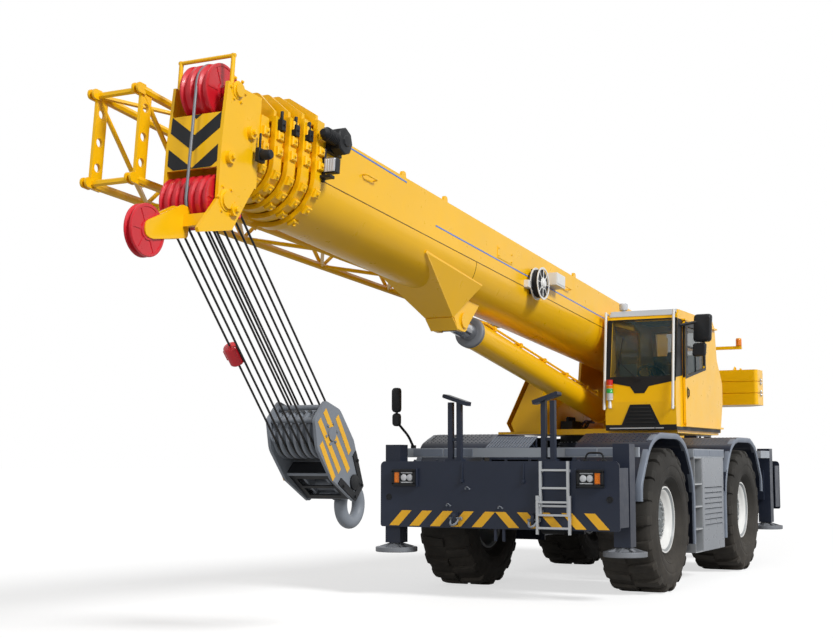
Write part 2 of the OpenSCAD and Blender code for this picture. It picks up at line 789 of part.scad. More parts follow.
module cab_fittings() {
    color("#d9d9d6") on_ring() {
        // guard rods in front of the windscreen
        for (y = [cab_y0 + 6, cab_y1 - 30]) {
            strut([1720, y, 330], [1590, y, 1690], 34, 12);
            strut([1722, y, 360], [1658, y, 360], 30, 12);
            strut([1592, y, 1670], [1477, y, 1670], 30, 12);
        }
        // visor sheet over the front edge of the roof, with a work light on it
        along_y(cab_y0 + 30, cab_y1 - 30) polygon([[1500.3, 1630.3], [1508, 1634], [1424, 1719], [1310, 1718],
            [1310, 1709.8], [1420.2, 1710.4]]);
        translate([1365, cab_y0 + 190, 1716]) cylinder(d = 60, h = 30);
        translate([1365, cab_y0 + 190, 1740]) cylinder(d = 110, h = 90);
        // mirrors and their arm
        strut([1400, cab_y1 + 8.6, 1490], [1230, 1760, 1550], 30, 12);
        along_x(1200, 1270) polygon(rounded([[1660, 1270, 40], [1890, 1270, 40], [1910, 1640, 50],
            [1680, 1640, 50]]));
        along_x(1205, 1265) polygon(rounded([[1640, 1070, 30], [1810, 1070, 30], [1825, 1240, 30],
            [1655, 1240, 30]]));
        block(1220, 1240, 1700, 1740, 1230, 1280);
        // signal lamp on its post
        translate([1706, cab_y0 + 85, 350]) cylinder(d = 34, h = 140);
        translate([1706, cab_y0 + 85, 480]) cylinder(d = 84, h = 260);
        strut([1706, cab_y0 + 85, 400], [1659.6, cab_y0 + 85, 400], 30, 12);
    }
}
module cab_door() {
    y0 = cab_y1 + 6;
    color("#f2b21a") on_ring() difference() {
        along_y(y0, y0 + door_t) polygon(rounded([[215, 120, 30], [1320, 120, 30], [1320, 990],
            [1285, 1570, 60], [215, 1570, 60]]));
        along_y(y0 - 10, y0 + door_t + 10) polygon(rounded(door_window));
    }
}
module door_glass() {
    y0 = cab_y1 + 6 + door_t / 2 - glass_t / 2;
    color("#6f8794") on_ring() along_y(y0, y0 + glass_t) polygon(rounded(door_window));
}

// Boom
module u_outline(w, h) {
    translate([-w / 2, w / 2 - h / 2]) square([w, h - w / 2]);
    translate([0, w / 2 - h / 2]) circle(d = w);
}
module u_tube(w, h, t, x0, x1) {
    translate([0, 0, boom_rise]) along_x(x0, x1) difference() {
        u_outline(w, h);
        u_outline(w - 2 * t, h - 2 * t);
    }
}
// upright guard plate on top of a collar
module fin(w, h, x) {
    e = w / 2 - 40;
    translate([0, 0, boom_rise + h / 2]) along_x(x - 60, x - 20)
        polygon(rounded([[-e, 0], [e, 0], [e, 60], [110, 250, 60], [-110, 250, 60], [-e, 60]]));
}
module section(n) {
    w = boom_w - n * nest_step;
    h = boom_h - n * nest_step;
    front = base_front + n * collar_pitch;
    u_tube(w, h, boom_t, 300 + 40 * n, front);
    u_tube(w + 2 * collar_t, h + 2 * collar_t, collar_t, front - collar_l, front);
    if (n < 4) {
        fin(w + 2 * collar_t, h + 2 * collar_t, front);
        pads(w, front);
    }
}
// wear pads at the front of a section, for the section that runs in it
module pads(w, front) {
    both_sides() block(front - 110, front - 10, w / 2 - boom_t - nest_gap + pin_gap, w / 2 - boom_t + 2,
        boom_rise, boom_rise + 180);
}

module boom_base() {
    top = boom_rise + boom_h / 2;
    color("#f2b21a") on_boom() {
        difference() {
            union() {
                u_tube(boom_w, boom_h, boom_t, -300, base_front);
                u_tube(boom_w + 2 * collar_t, boom_h + 2 * collar_t, collar_t, base_front - collar_l,
                    base_front);
                // foot plates that carry the pivot bores
                both_sides() along_y(boom_w / 2 - 5, tower_y - tower_t - 5) polygon(rounded([[-300, 700],
                    [-300, 250, 150], [-165, -165, 160], [165, -165, 160], [700, 480, 200], [700, 700, 60]]));
            }
            bar_y(0, 0, pivot_d + 2 * pin_gap, -tower_y, tower_y);
        }
        fin(boom_w + 2 * collar_t, boom_h + 2 * collar_t, base_front);
        pads(boom_w, base_front);
        // cheeks of the lift cylinder's upper eye
        both_sides() along_y(120, 170) polygon(rounded([[eye_u - 420, boom_low + 48],
            [eye_u - 150, eye_w - 10, 60], [eye_u - 60, eye_w - 130, 90], [eye_u + 150, eye_w - 130, 110],
            [eye_u + 420, boom_low - 60, 120], [eye_u + 1000, boom_low + 48]]));
        // front plate and side skins of the wedge that spreads the cylinder's thrust
        difference() {
            union() {
                hull() {
                    block(eye_u + 1435, eye_u + 1455, -392, 392, 160, 190);
                    block(eye_u + 290, eye_u + 310, -176, 176, eye_w - 15, eye_w + 10);
                }
                both_sides() hull() {
                    block(eye_u + 1425, eye_u + 1450, 380, 390, 165, 188);
                    block(eye_u + 290, eye_u + 308, 164, 175, eye_w - 12, eye_w + 8);
                    block(eye_u - 60, eye_u - 45, 350, 360, 112, 128);
                }
            }
            translate([0, 0, boom_rise]) along_x(eye_u - 300, eye_u + 1600)
                u_outline(boom_w - boom_t, boom_h - boom_t);
        }
        both_sides() bar_y(eye_u, eye_w, lift_pin_d + 60, 170, 190);
        // lugs on the upper edge
        for (u = [3800, 7850, 8850])
            along_y(boom_w / 2 - 90, boom_w / 2 - 60) polygon(rounded([[u - 60, top - 2], [u + 60, top - 2],
                [u + 35, top + 95, 30], [u - 35, top + 95, 30]]));
    }
}
module boom_section_2() {
    color("#f2b21a") on_boom() section(1);
}
module boom_section_3() {
    color("#f2b21a") on_boom() section(2);
}
module boom_section_4() {
    color("#f2b21a") on_boom() section(3);
}
module boom_section_5() {
    color("#f2b21a") on_boom() section(4);
}

module boom_head() {
    u = head_u;
    color("#f2b21a") on_boom() translate([0, 0, boom_rise]) {
        along_x(u, u + 30) translate([-285, -340]) square([570, 820]);
        both_sides() along_y(255, 285) polygon([[u + 20, 480], [u + 505, 466], [u + 525, 194],
            [u + 545, -110], [u + 545, -560], [u + 785, -870], [u + 770, -904], [u + 315, -782],
            [u + 105, -452], [u + 20, -330]]);
        // warning plate between the side plates, below the top sheaves
        along_y(-255, 255) polygon([[u + 490, 185], [u + 525, 194], [u + 545, -110], [u + 545, -290],
            [u + 515, -290], [u + 515, -110]]);
        // rope guard over the top sheaves
        both_sides() strut([u + 440, 270, 460], [u + 440, 270, 730], 40, 12);
        bar_y(u + 440, 715, 36, -290, 290);
        // bosses on the outer faces
        both_sides() for (b = [[140, 120], [330, -610], [430, -180]])
            bar_y(u + b[0], b[1], 110, 285, 325);
        // arm of the single line sheave
        both_sides() along_y(34, 54) polygon(rounded([[u + 600, -640, 40], [u + 700, -640, 60],
            [u + 1150, -890, 60], [u + 1150, -1010, 60], [u + 1040, -1010, 60], [u + 600, -900, 40]]));
        both_sides() block(u + 640, u + 680, 40, 260, -820, -720);
    }
}

// grooved sheaves side by side on one hub
module sheaves(d, w, n) {
    rotate([-90, 0, 0]) rotate_extrude() polygon(concat([[0, -n * w / 2]],
        [for (i = [0:n - 1]) each let(a = (i - n / 2) * w)
            [[d / 2, a], [d / 2, a + w * 0.16], [d / 2 - 28, a + w * 0.36], [d / 2 - 28, a + w * 0.64],
             [d / 2, a + w * 0.84], [d / 2, a + w]]],
        [[0, n * w / 2]]));
}
module head_sheaves() {
    u = head_u;
    color("#b3261c") on_boom() translate([0, 0, boom_rise]) {
        translate([sheave_u, 0, sheave_c]) {
            sheaves(sheave_d, sheave_w, sheave_n);
            bar_y(0, 0, 110, -255, 255);
        }
        translate([u + 360, 0, 430]) {
            sheaves(500, 90, 3);
            bar_y(0, 0, 90, -255, 255);
        }
        translate([u + 1095, 0, -950]) sheaves(430, 68, 1);
    }
}

module jib() {
    y0 = -boom_w / 2 - 160;
    y1 = y0 - 480;
    n = 11;
    u0 = 3400;
    u1 = 12000;
    c0 = -60;
    c1 = -330;
    t0 = 330;
    t1 = 470;
    color("#f2b21a") on_boom() translate([0, 0, boom_rise]) {
        for (y = [y0, y1]) {
            strut([u0, y, c0], [u1, y, c1], 80, 8);
            strut([u0, y, t0], [u1, y, t1], 80, 8);
        }
        for (i = [0:n]) {
            f = i / n;
            g = (i + 1) / n;
            u = u0 + f * (u1 - u0);
            v = u0 + g * (u1 - u0);
            b = c0 + f * (c1 - c0);
            d = c0 + g * (c1 - c0);
            t = t0 + f * (t1 - t0);
            s = t0 + g * (t1 - t0);
            if (i == 0 || i == n) for (z = [b, t])
                strut([u, y0, z], [u, y1, z], 60, 6);
            if (i == 0) for (y = [y0, y1])
                strut([u, y, b], [u, y, t], 60, 6);
            if (i < n) {
                for (y = [y0, y1])
                    strut([u, y, i % 2 == 0 ? b : t], [v, y, i % 2 == 0 ? s : d], 44, 6);
                strut([u, i % 2 == 0 ? y0 : y1, t], [v, i % 2 == 0 ? y1 : y0, s], 44, 6);
                strut([u, i % 2 == 0 ? y1 : y0, b], [v, i % 2 == 0 ? y0 : y1, d], 44, 6);
            }
        }
        // slotted end plates with pin ears
        for (y = [y0, y1]) {
            difference() {
                block(u1 - 130, u1 + 10, y - 15, y + 15, c1 - 40, t1 + 40);
                for (z = [c1 + 160, 60, t1 - 150])
                    bar_y(u1 - 60, z, 80, y - 20, y + 20);
            }
            for (z = [c1, t1])
                for (s = [-35, 15])
                    along_y(y + s, y + s + 20) polygon(rounded([[u1 - 20, z - 45], [u1 + 95, z - 45, 40],
                        [u1 + 95, z + 45, 40], [u1 - 20, z + 45]]));
        }
        for (u = [4200, 9600])
            let (t = t0 + (u - u0) / (u1 - u0) * (t1 - t0))
                block(u, u + 60, y0 - 20, -boom_w / 2, t - 40, t);
    }
}

module lift_barrel() {
    e = lift_l - 520;
    color("#f2b21a") on_lift() difference() {
        union() {
            bar_y(0, 0, 230, -120, 120);
            rotate([0, 90, 0]) cylinder(d = 220, h = 760);
            translate([740, 0, 0]) rotate([0, 90, 0]) cylinder(d = barrel_d, h = e - 740);
            // bands and the holding valve
            for (x = [800, e - 90])
                translate([x, 0, 0]) rotate([0, 90, 0]) cylinder(d = barrel_d + 24, h = 90);
            block(930, 1180, -70, 70, 100, barrel_d / 2 + 80);
        }
        bar_y(0, 0, lift_pin_d + 2 * pin_gap, -130, 130);
        translate([1100, 0, 0]) rotate([0, 90, 0]) cylinder(d = rod_d + 2 * pin_gap, h = e);
    }
}
module lift_rod() {
    color("#c9cdd0") on_lift() difference() {
        union() {
            translate([1400, 0, 0]) rotate([0, 90, 0]) cylinder(d = rod_d, h = lift_l - 1480);
            bar_y(lift_l, 0, rod_d + 24, -95, 95);
        }
        bar_y(lift_l, 0, lift_pin_d + 2 * pin_gap, -100, 100);
    }
}

// Hook block and falls
module hook_block() {
    color("#6a7074") on_falls() translate([fall_l, 0, 0]) {
        sheaves(block_d, sheave_w, sheave_n);
        bar_y(0, 0, 130, -285, 285);
        // cheek plates and the cross members between them
        both_sides() along_y(237, 267) polygon(rounded([[-300, -130, 60], [-300, 130, 60], [-60, 275, 150],
            [330, 275, 150], [780, 110, 60], [780, -110, 60], [330, -275, 150], [-60, -275, 150]]));
        block(290, 320, -240, 240, -230, 230);
        block(700, 740, -240, 240, -110, 110);
        bar_y(-250, 90, 50, -240, 240);
        bar_y(-250, -90, 50, -240, 240);
        both_sides() along_y(110, 135) polygon([[310, -200], [720, -90], [720, 90], [310, 200]]);
        // trunnion and hook
        bar_y(620, 0, 170, -240, 240);
        translate([680, 0, 0]) rotate([0, 20, 0]) {
            rotate([0, 90, 0]) cylinder(d = 120, h = 240);
            translate([395, 0, 0]) rotate([90, 0, 0]) difference() {
                rotate_extrude() translate([175, 0]) circle(d = 130);
                linear_extrude(200, center = true) polygon([[0, 0], for (a = [192, 222, 252])
                    600 * [cos(a), sin(a)]]);
            }
        }
    }
}
module hoist_falls() {
    r = sheave_d / 2 - 28 + rope_d / 2 + pin_gap;
    q = block_d / 2 - 28 + rope_d / 2 + pin_gap;
    color("#2f3133") on_falls() for (i = [0:sheave_n - 1])
        let (y = (i - sheave_n / 2 + 0.5) * sheave_w)
            for (s = [-1, 1])
                strut([0, y, s * r], [fall_l, y, s * q], rope_d, 16);
}

chassis();
slew_ring();
outrigger_box_front();
outrigger_box_rear();
bumpers();
deck();
fenders();
side_boxes();
ladders();
boom_rest();
engine_block();
engine_hood();
lamps();
carrier_mirror();
axle_front();
axle_rear();
knuckle_fl();
knuckle_fr();
knuckle_rl();
knuckle_rr();
rim_fl();
rim_fr();
rim_rl();
rim_rr();
tyre_fl();
tyre_fr();
tyre_rl();
tyre_rr();
outrigger_beam_fl();
outrigger_beam_fr();
outrigger_beam_rl();
outrigger_beam_rr();
jack_fl();
jack_fr();
jack_rl();
jack_rr();
turntable();
counterweight();
winches();
oil_tank();
cab_body();
cab_glass();
cab_seat();
cab_console();
cab_fittings();
cab_door();
door_glass();
boom_base();
boom_section_2();
boom_section_3();
boom_section_4();
boom_section_5();
boom_head();
head_sheaves();
jib();
lift_barrel();
lift_rod();
hook_block();
hoist_falls();
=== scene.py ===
"""Looks of a two-axle rough terrain crane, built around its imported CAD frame.

Metres. +X is forward, +Y is the cab side, +Z is up, and the ground is at z = 0.
"""

import json
from math import atan2, cos, exp, hypot, pi, radians, sin

import bmesh
import bpy
from mathutils import Matrix, Vector


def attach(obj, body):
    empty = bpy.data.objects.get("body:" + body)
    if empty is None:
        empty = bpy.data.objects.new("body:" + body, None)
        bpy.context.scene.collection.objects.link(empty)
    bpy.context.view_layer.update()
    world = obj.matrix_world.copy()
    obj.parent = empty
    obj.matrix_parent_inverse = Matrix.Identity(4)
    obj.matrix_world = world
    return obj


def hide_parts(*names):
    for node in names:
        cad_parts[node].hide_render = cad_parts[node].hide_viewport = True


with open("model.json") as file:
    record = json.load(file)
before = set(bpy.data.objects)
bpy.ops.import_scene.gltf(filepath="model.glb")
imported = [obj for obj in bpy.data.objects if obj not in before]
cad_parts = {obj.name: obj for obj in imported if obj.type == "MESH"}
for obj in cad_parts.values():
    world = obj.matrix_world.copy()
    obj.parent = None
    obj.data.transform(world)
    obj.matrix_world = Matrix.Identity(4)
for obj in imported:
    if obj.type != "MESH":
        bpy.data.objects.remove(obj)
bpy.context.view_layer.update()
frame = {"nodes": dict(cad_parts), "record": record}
nodes = frame["nodes"]

X, Y, Z = (1, 0, 0), (0, 1, 0), (0, 0, 1)
SIDES = (-1, 1)
WORLD = Matrix()
FLIP_X, FLIP_Y = Matrix.Scale(-1, 4, X), Matrix.Scale(-1, 4, Y)


def move(x, y, z):
    return Matrix.Translation((x, y, z))


def turn(degrees, axis):
    return Matrix.Rotation(radians(degrees), 4, axis)


# The photograph's camera, fitted to the wheels, bumper and cab.
IMAGE_W, IMAGE_H = 833, 638
CAMERA_AT = Vector((19.72, 6.738, 1.695))
CAMERA_YAW = radians(26.65)
CAMERA_PITCH = radians(6.12)
FOCAL_PX = 1359.6
CENTRE_PX = (423.6, 315.0)
SENSOR_W = 36

# Frames of the machine at rest.
RING = move(0, 0, 2.07)
BOOM = move(-1.3, 0, 2.99) @ turn(-5, "Y")
BOOM_RISE, BOOM_HALF = 0.374, 0.41
HEAD = BOOM @ move(11.42, 0, BOOM_RISE)
FALLS = move(10.515, 0, 3.846) @ turn(133, "Y")
FALL_L = 2.6
BLOCK = FALLS @ move(FALL_L, 0, 0)
LIFT = move(-0.4, 0, 2.29) @ turn(-9.57, "Y")
# The frame in which a body's pieces are drawn, unless they name another.
HOMES = {"carrier": WORLD, "superstructure": RING, "door": RING, "boom": BOOM, "section_5": HEAD,
         "hook": BLOCK, "lift_cylinder_barrel": LIFT}

# Running gear.
CORNERS = ("fl", "fr", "rl", "rr")
AXLE_X = {"f": 2.34, "r": -1.74}
WHEEL_Y, AXLE_Z = 1.25, 0.935


# Materials


def new_material(name):
    """A material, with its node tree and its Principled BSDF."""
    mat = bpy.data.materials.new(name)
    mat.use_nodes = True
    return mat, mat.node_tree, mat.node_tree.nodes["Principled BSDF"]


def put(node, **values):
    """Sets inputs of a shader node, with _ for each blank in their names."""
    for name, value in values.items():
        node.inputs[name.replace("_", " ")].default_value = value


def combine(tree, operation, *values):
    """The output of a math node that takes outputs or numbers."""
    node = tree.nodes.new("ShaderNodeMath")
    node.operation = operation
    for socket, value in zip(node.inputs, values):
        if isinstance(value, float):
            socket.default_value = value
        else:
            tree.links.new(value, socket)
    return node.outputs["Value"]


def object_coords(tree):
    return tree.nodes.new("ShaderNodeTexCoord").outputs["Object"]


def noise(tree, coords, scale, detail, rough):
    node = tree.nodes.new("ShaderNodeTexNoise")
    put(node, Scale=scale, Detail=detail, Roughness=rough)
    tree.links.new(coords, node.inputs["Vector"])
    return node.outputs["Fac"]


def ramp(tree, source, *stops):
    """A ramp between two stops, each a position with a colour or a grey level."""
    node = tree.nodes.new("ShaderNodeValToRGB")
    for element, (at, value) in zip(node.color_ramp.elements, stops):
        element.position = at
        element.color = (*value, 1) if isinstance(value, tuple) else (value, value, value, 1)
    tree.links.new(source, node.inputs["Fac"])
    return node.outputs["Color"]


def mix_in(tree, base, layer, factor):
    """A base colour with `layer` laid over it by a factor."""
    mix = tree.nodes.new("ShaderNodeMix")
    mix.data_type = "RGBA"
    mix.inputs["B"].default_value = (*layer, 1)
    tree.links.new(factor, mix.inputs["Factor"])
    tree.links.new(base, mix.inputs["A"])
    return mix.outputs["Result"]


def emboss(tree, bsdf, height, strength, distance):
    bump = tree.nodes.new("ShaderNodeBump")
    put(bump, Strength=strength, Distance=distance)
    tree.links.new(height, bump.inputs["Height"])
    tree.links.new(bump.outputs["Normal"], bsdf.inputs["Normal"])


def surface(name, colour, shade=0.86, rough=(0.3, 0.45), metal=0.0, coat=0.0, spec=0.35, mottle=1.4,
            grain=60.0, bump=0.02, dust=None, dust_amount=0.0, dust_top=1.0, scratch=0.0):
    """A painted, cast or moulded surface.

    The colour is mottled, the gloss is uneven and the grain is fine. Dust thickens towards the ground, and
    small pale scratches show where `scratch` is above zero.
    """
    mat, tree, bsdf = new_material(name)
    coords = object_coords(tree)
    dark = tuple(c * shade for c in colour)
    tint = ramp(tree, noise(tree, coords, mottle, 6.0, 0.6), (0.3, dark), (0.65, colour))
    if dust_amount:
        split = tree.nodes.new("ShaderNodeSeparateXYZ")
        tree.links.new(coords, split.inputs["Vector"])
        low = ramp(tree, combine(tree, "MULTIPLY", split.outputs["Z"], 1 / dust_top), (0.0, 1.0), (1.0, 0.0))
        spots = ramp(tree, noise(tree, coords, 9.0, 8.0, 0.7), (0.35, 0.25), (0.75, 1.0))
        amount = combine(tree, "MULTIPLY", combine(tree, "MULTIPLY", low, spots), dust_amount)
        tint = mix_in(tree, tint, dust, amount)
    if scratch:
        marks = ramp(tree, noise(tree, coords, 38.0, 10.0, 0.75), (0.66, 0.0), (0.74, 1.0))
        pale = tuple(min(1.0, c * 1.2 + 0.12) for c in colour)
        tint = mix_in(tree, tint, pale, combine(tree, "MULTIPLY", marks, scratch))
    gloss = ramp(tree, noise(tree, coords, mottle * 4, 5.0, 0.6), (0.3, rough[0]), (0.7, rough[1]))
    tree.links.new(tint, bsdf.inputs["Base Color"])
    tree.links.new(gloss, bsdf.inputs["Roughness"])
    emboss(tree, bsdf, noise(tree, coords, grain, 3.0, 0.5), bump, 0.01)
    put(bsdf, Metallic=metal, Specular_IOR_Level=spec, Coat_Weight=coat, Coat_Roughness=0.12)
    return mat


def fabric():
    """Dark woven seat cloth."""
    mat, tree, bsdf = new_material("seat_cloth")
    node = tree.nodes.new("ShaderNodeTexWave")
    put(node, Scale=90, Distortion=2.0, Detail=3.0)
    tree.links.new(object_coords(tree), node.inputs["Vector"])
    weave = node.outputs["Fac"]
    tint = ramp(tree, weave, (0.2, (0.02, 0.021, 0.024)), (0.8, (0.055, 0.057, 0.062)))
    tree.links.new(tint, bsdf.inputs["Base Color"])
    emboss(tree, bsdf, weave, 0.3, 0.004)
    put(bsdf, Roughness=0.9, Sheen_Weight=0.25)
    return mat


def glass():
    mat, tree, bsdf = new_material("window_glass")
    haze = ramp(tree, noise(tree, object_coords(tree), 2.5, 5.0, 0.6),
                (0.35, (0.014, 0.036, 0.042)), (0.7, (0.026, 0.06, 0.066)))
    tree.links.new(haze, bsdf.inputs["Base Color"])
    put(bsdf, Roughness=0.03, Alpha=0.36, Specular_IOR_Level=0.5)
    return mat


def lens(name, colour):
    return surface(name, colour, 0.85, (0.1, 0.2), coat=0.4, bump=0.2, grain=120)


YELLOW = surface("yellow_paint", (0.88, 0.485, 0.003), 0.95, (0.26, 0.38), coat=0.15, spec=0.3, bump=0.01)
SLATE = surface("slate_paint", (0.019, 0.025, 0.043), 0.82, (0.3, 0.46), coat=0.08, spec=0.25,
                dust=(0.09, 0.088, 0.085), dust_amount=0.25, dust_top=1.3, scratch=0.03)
LIP = surface("edge_grey", (0.16, 0.185, 0.23), 0.88, (0.34, 0.5), spec=0.3, scratch=0.06)
GREY = surface("grey_paint", (0.3, 0.33, 0.37), 0.88, (0.35, 0.5), spec=0.3, scratch=0.06)
IRON = surface("dark_iron", (0.02, 0.022, 0.025), 0.7, (0.5, 0.7), spec=0.25, bump=0.08,
               dust=(0.1, 0.09, 0.075), dust_amount=0.4)
SILVER = surface("silver_paint", (0.5, 0.52, 0.54), 0.9, (0.28, 0.42), metal=0.55, scratch=0.1)
WHITE = surface("white_paint", (0.72, 0.72, 0.7), 0.93, (0.3, 0.42), spec=0.3)
PANEL = surface("panel_grey", (0.26, 0.28, 0.31), 0.9, (0.24, 0.36), metal=0.35, spec=0.4, scratch=0.05)
# Painted shade: the rims are white paint, and these greys darken the rim, its web, hub cover and bolts inside
# the dish; the dust low down is real.
HUB_SHADE_AND_DUST = surface("hub_shade_and_dust", (0.13, 0.145, 0.15), 0.8, (0.4, 0.55), spec=0.3, dust=(0.16, 0.14, 0.12),
              dust_amount=0.4, dust_top=1.3)
RIM_SHADE_AND_DUST = surface("rim_shade_and_dust", (0.33, 0.35, 0.36), 0.86, (0.34, 0.48), spec=0.3, dust=(0.16, 0.14, 0.12),
              dust_amount=0.5, dust_top=1.3, scratch=0.06)
BLACK = surface("black_plastic", (0.011, 0.012, 0.014), 0.7, (0.38, 0.56), spec=0.25, bump=0.06)
RUBBER = surface("tyre_rubber", (0.036, 0.034, 0.031), 0.6, (0.7, 0.88), spec=0.18, bump=0.18, grain=140,
                 dust=(0.1, 0.085, 0.068), dust_amount=0.55, dust_top=1.4, mottle=3.0)
STEEL = surface("bright_steel", (0.62, 0.63, 0.65), 0.92, (0.12, 0.25), metal=1.0)
PAD_STEEL = surface("pad_steel", (0.2, 0.21, 0.23), 0.8, (0.4, 0.6), metal=0.3, bump=0.08, scratch=0.15)
RED = surface("red_nylon", (0.6, 0.012, 0.024), 0.85, (0.25, 0.4), coat=0.3, scratch=0.05)
CAST = surface("grey_cast", (0.2, 0.22, 0.25), 0.8, (0.4, 0.6), spec=0.3, bump=0.1, scratch=0.1)
ROPE = surface("rope_steel", (0.035, 0.034, 0.034), 0.6, (0.4, 0.6), metal=0.6, bump=0.3, grain=300)
STRIPE = surface("stripe_yellow", (0.8, 0.43, 0.03), 0.85, (0.4, 0.55), spec=0.3, scratch=0.2)
BLUE = surface("stripe_blue", (0.08, 0.2, 0.58), 0.9, (0.3, 0.42), spec=0.3)
# Painted shade: the boom's yellow darkened to the shade that falls in the creases of its welded seams.
SEAM_SHADE = surface("painted_seam_shade", (0.13, 0.062, 0.006), 0.8, (0.4, 0.55), spec=0.3)
LINING = surface("cab_lining", (0.07, 0.085, 0.09), 0.85, (0.6, 0.8), bump=0.12, grain=220)
LENS = surface("lamp_lens", (0.52, 0.54, 0.57), 0.8, (0.06, 0.14), coat=0.6, bump=0.2, grain=120)
AMBER = lens("amber_lens", (0.8, 0.2, 0.006))
RED_LENS = lens("red_lens", (0.6, 0.016, 0.012))
GREEN_LENS = lens("green_lens", (0.015, 0.42, 0.07))
MIRROR = surface("mirror_glass", (0.4, 0.44, 0.48), 0.95, (0.03, 0.06), metal=1.0, bump=0.0)
GLASS = glass()
CLOTH = fabric()

# Looks of the CAD solids, by slot or by the first word of the node.
LOOKS = {"slate_paint": SLATE, "grey_paint": GREY, "dark_iron": IRON, "silver_paint": SILVER,
         "lamp_lens": BLACK, "black_plastic": BLACK, "white_paint": WHITE, "tyre_rubber": RUBBER,
         "bright_steel": STEEL, "yellow_paint": YELLOW, "window_glass": GLASS, "red_plastic": RED,
         "grey_cast": CAST, "rope_steel": ROPE}
# The CAD rims take the rim grey, painted shade over their white paint.
NODE_LOOKS = {"jack": PAD_STEEL, "rim": RIM_SHADE_AND_DUST, "side": PANEL}
for part in frame["record"]["subparts"]:
    cad_mesh = nodes[part["node"]].data
    cad_mesh.materials.clear()
    special = NODE_LOOKS.get(part["node"].split("_")[0])
    cad_mesh.materials.append(special or LOOKS[part["material_slot"]])


# Mesh building

def span(a, b, n):
    return [a + (b - a) * i / (n - 1) for i in range(n)]


def rect(a0, a1, b0, b1):
    return [(a0, b0), (a1, b0), (a1, b1), (a0, b1)]


def polar(n, r=1.0):
    """Points on a circle about the origin of a plane."""
    return [(r * cos(t), r * sin(t)) for t in (2 * pi * k / n for k in range(n))]


def arc(at, r, start, end, n):
    """Points on an arc round the y axis through a point, between two angles in degrees."""
    x, y, z = at
    return [(x + r * cos(t), y, z + r * sin(t)) for t in map(radians, span(start, end, n))]


def coil(at, r, length, turns, steps):
    """A winding round the y axis, from a point on it."""
    x, y, z = at
    return [(x + r * cos(2 * pi * k / steps), y + length * k / (turns * steps),
             z + r * sin(2 * pi * k / steps)) for k in range(turns * steps + 1)]


def across(axis):
    """Two unit vectors square to an axis and to each other."""
    axis = Vector(axis).normalized()
    side = axis.cross(Vector(Z) if abs(axis.z) < 0.9 else Vector(X)).normalized()
    return side, axis.cross(side)


def circle(centre, axis, r, sides):
    a, b = across(axis)
    return [Vector(centre) + r * (c * a + s * b) for c, s in polar(sides)]


def bend(p, q, s, r, share, steps):
    """A rounded corner at q between p and s, no longer than a share of either side."""
    p, q, s = Vector(p), Vector(q), Vector(s)
    r = min(r, (p - q).length * share, (s - q).length * share)
    a, b = q + r * (p - q).normalized(), q + r * (s - q).normalized()
    return [(1 - t) ** 2 * a + 2 * t * (1 - t) * q + t * t * b for t in span(0, 1, steps + 1)]


def round_corners(path, radii):
    """An open path with its inner corners rounded, by one radius or one each."""
    if not isinstance(radii, tuple):
        radii = (radii,) * (len(path) - 2)
    out = [Vector(path[0])]
    for p, q, s, r in zip(path, path[1:], path[2:], radii):
        out += bend(p, q, s, r, 0.49, 5)
    return out + [Vector(path[-1])]


def rounded(outline, r):
    """A closed outline with all corners rounded."""
    n = len(outline)
    return [v for i in range(n) for v in bend(outline[i - 1], outline[i], outline[(i + 1) % n], r, 0.45, 4)]


def clipped(outline, low, high):
    """The part of a convex outline whose second value lies between two levels."""
    for sign, level in ((1, low), (-1, high)):
        kept = []
        for (ya, za), (yb, zb) in zip(outline, outline[1:] + outline[:1]):
            da, db = sign * (za - level), sign * (zb - level)
            if da >= 0:
                kept.append((ya, za))
            if da * db < 0:
                t = da / (da - db)
                kept.append((ya + (yb - ya) * t, za + (zb - za) * t))
        outline = kept
    return outline


def both_sides(at):
    return (at, "left"), (FLIP_Y @ at, "right")


def new_object(name, bm, at, material):
    """A smooth object from a mesh that `at` places in the world."""
    bm.transform(at)
    bmesh.ops.recalc_face_normals(bm, faces=bm.faces)
    mesh = bpy.data.meshes.new(name)
    bm.to_mesh(mesh)
    bm.free()
    mesh.materials.append(material)
    mesh.polygons.foreach_set("use_smooth", [True] * len(mesh.polygons))
    obj = bpy.data.objects.new(name, mesh)
    bpy.context.collection.objects.link(obj)
    return obj


# Anti-slip studs on level and on sloping sheets: radius and height of each ring.
STUD = ((0.011, -0.001), (0.011, 0.003), (0.0066, 0.006))
SLOPE_STUD = ((0.011, -0.002), (0.011, 0.003), (0.006, 0.006))
# Radii of a bolt's washer, corners and top, as shares of its width across the flats.
WASHER_R, BOLT_R, BOLT_TOP_R = 0.8, 0.577, 0.5
# Radius that closes the end of a turned body.
MIN_R = 0.0004


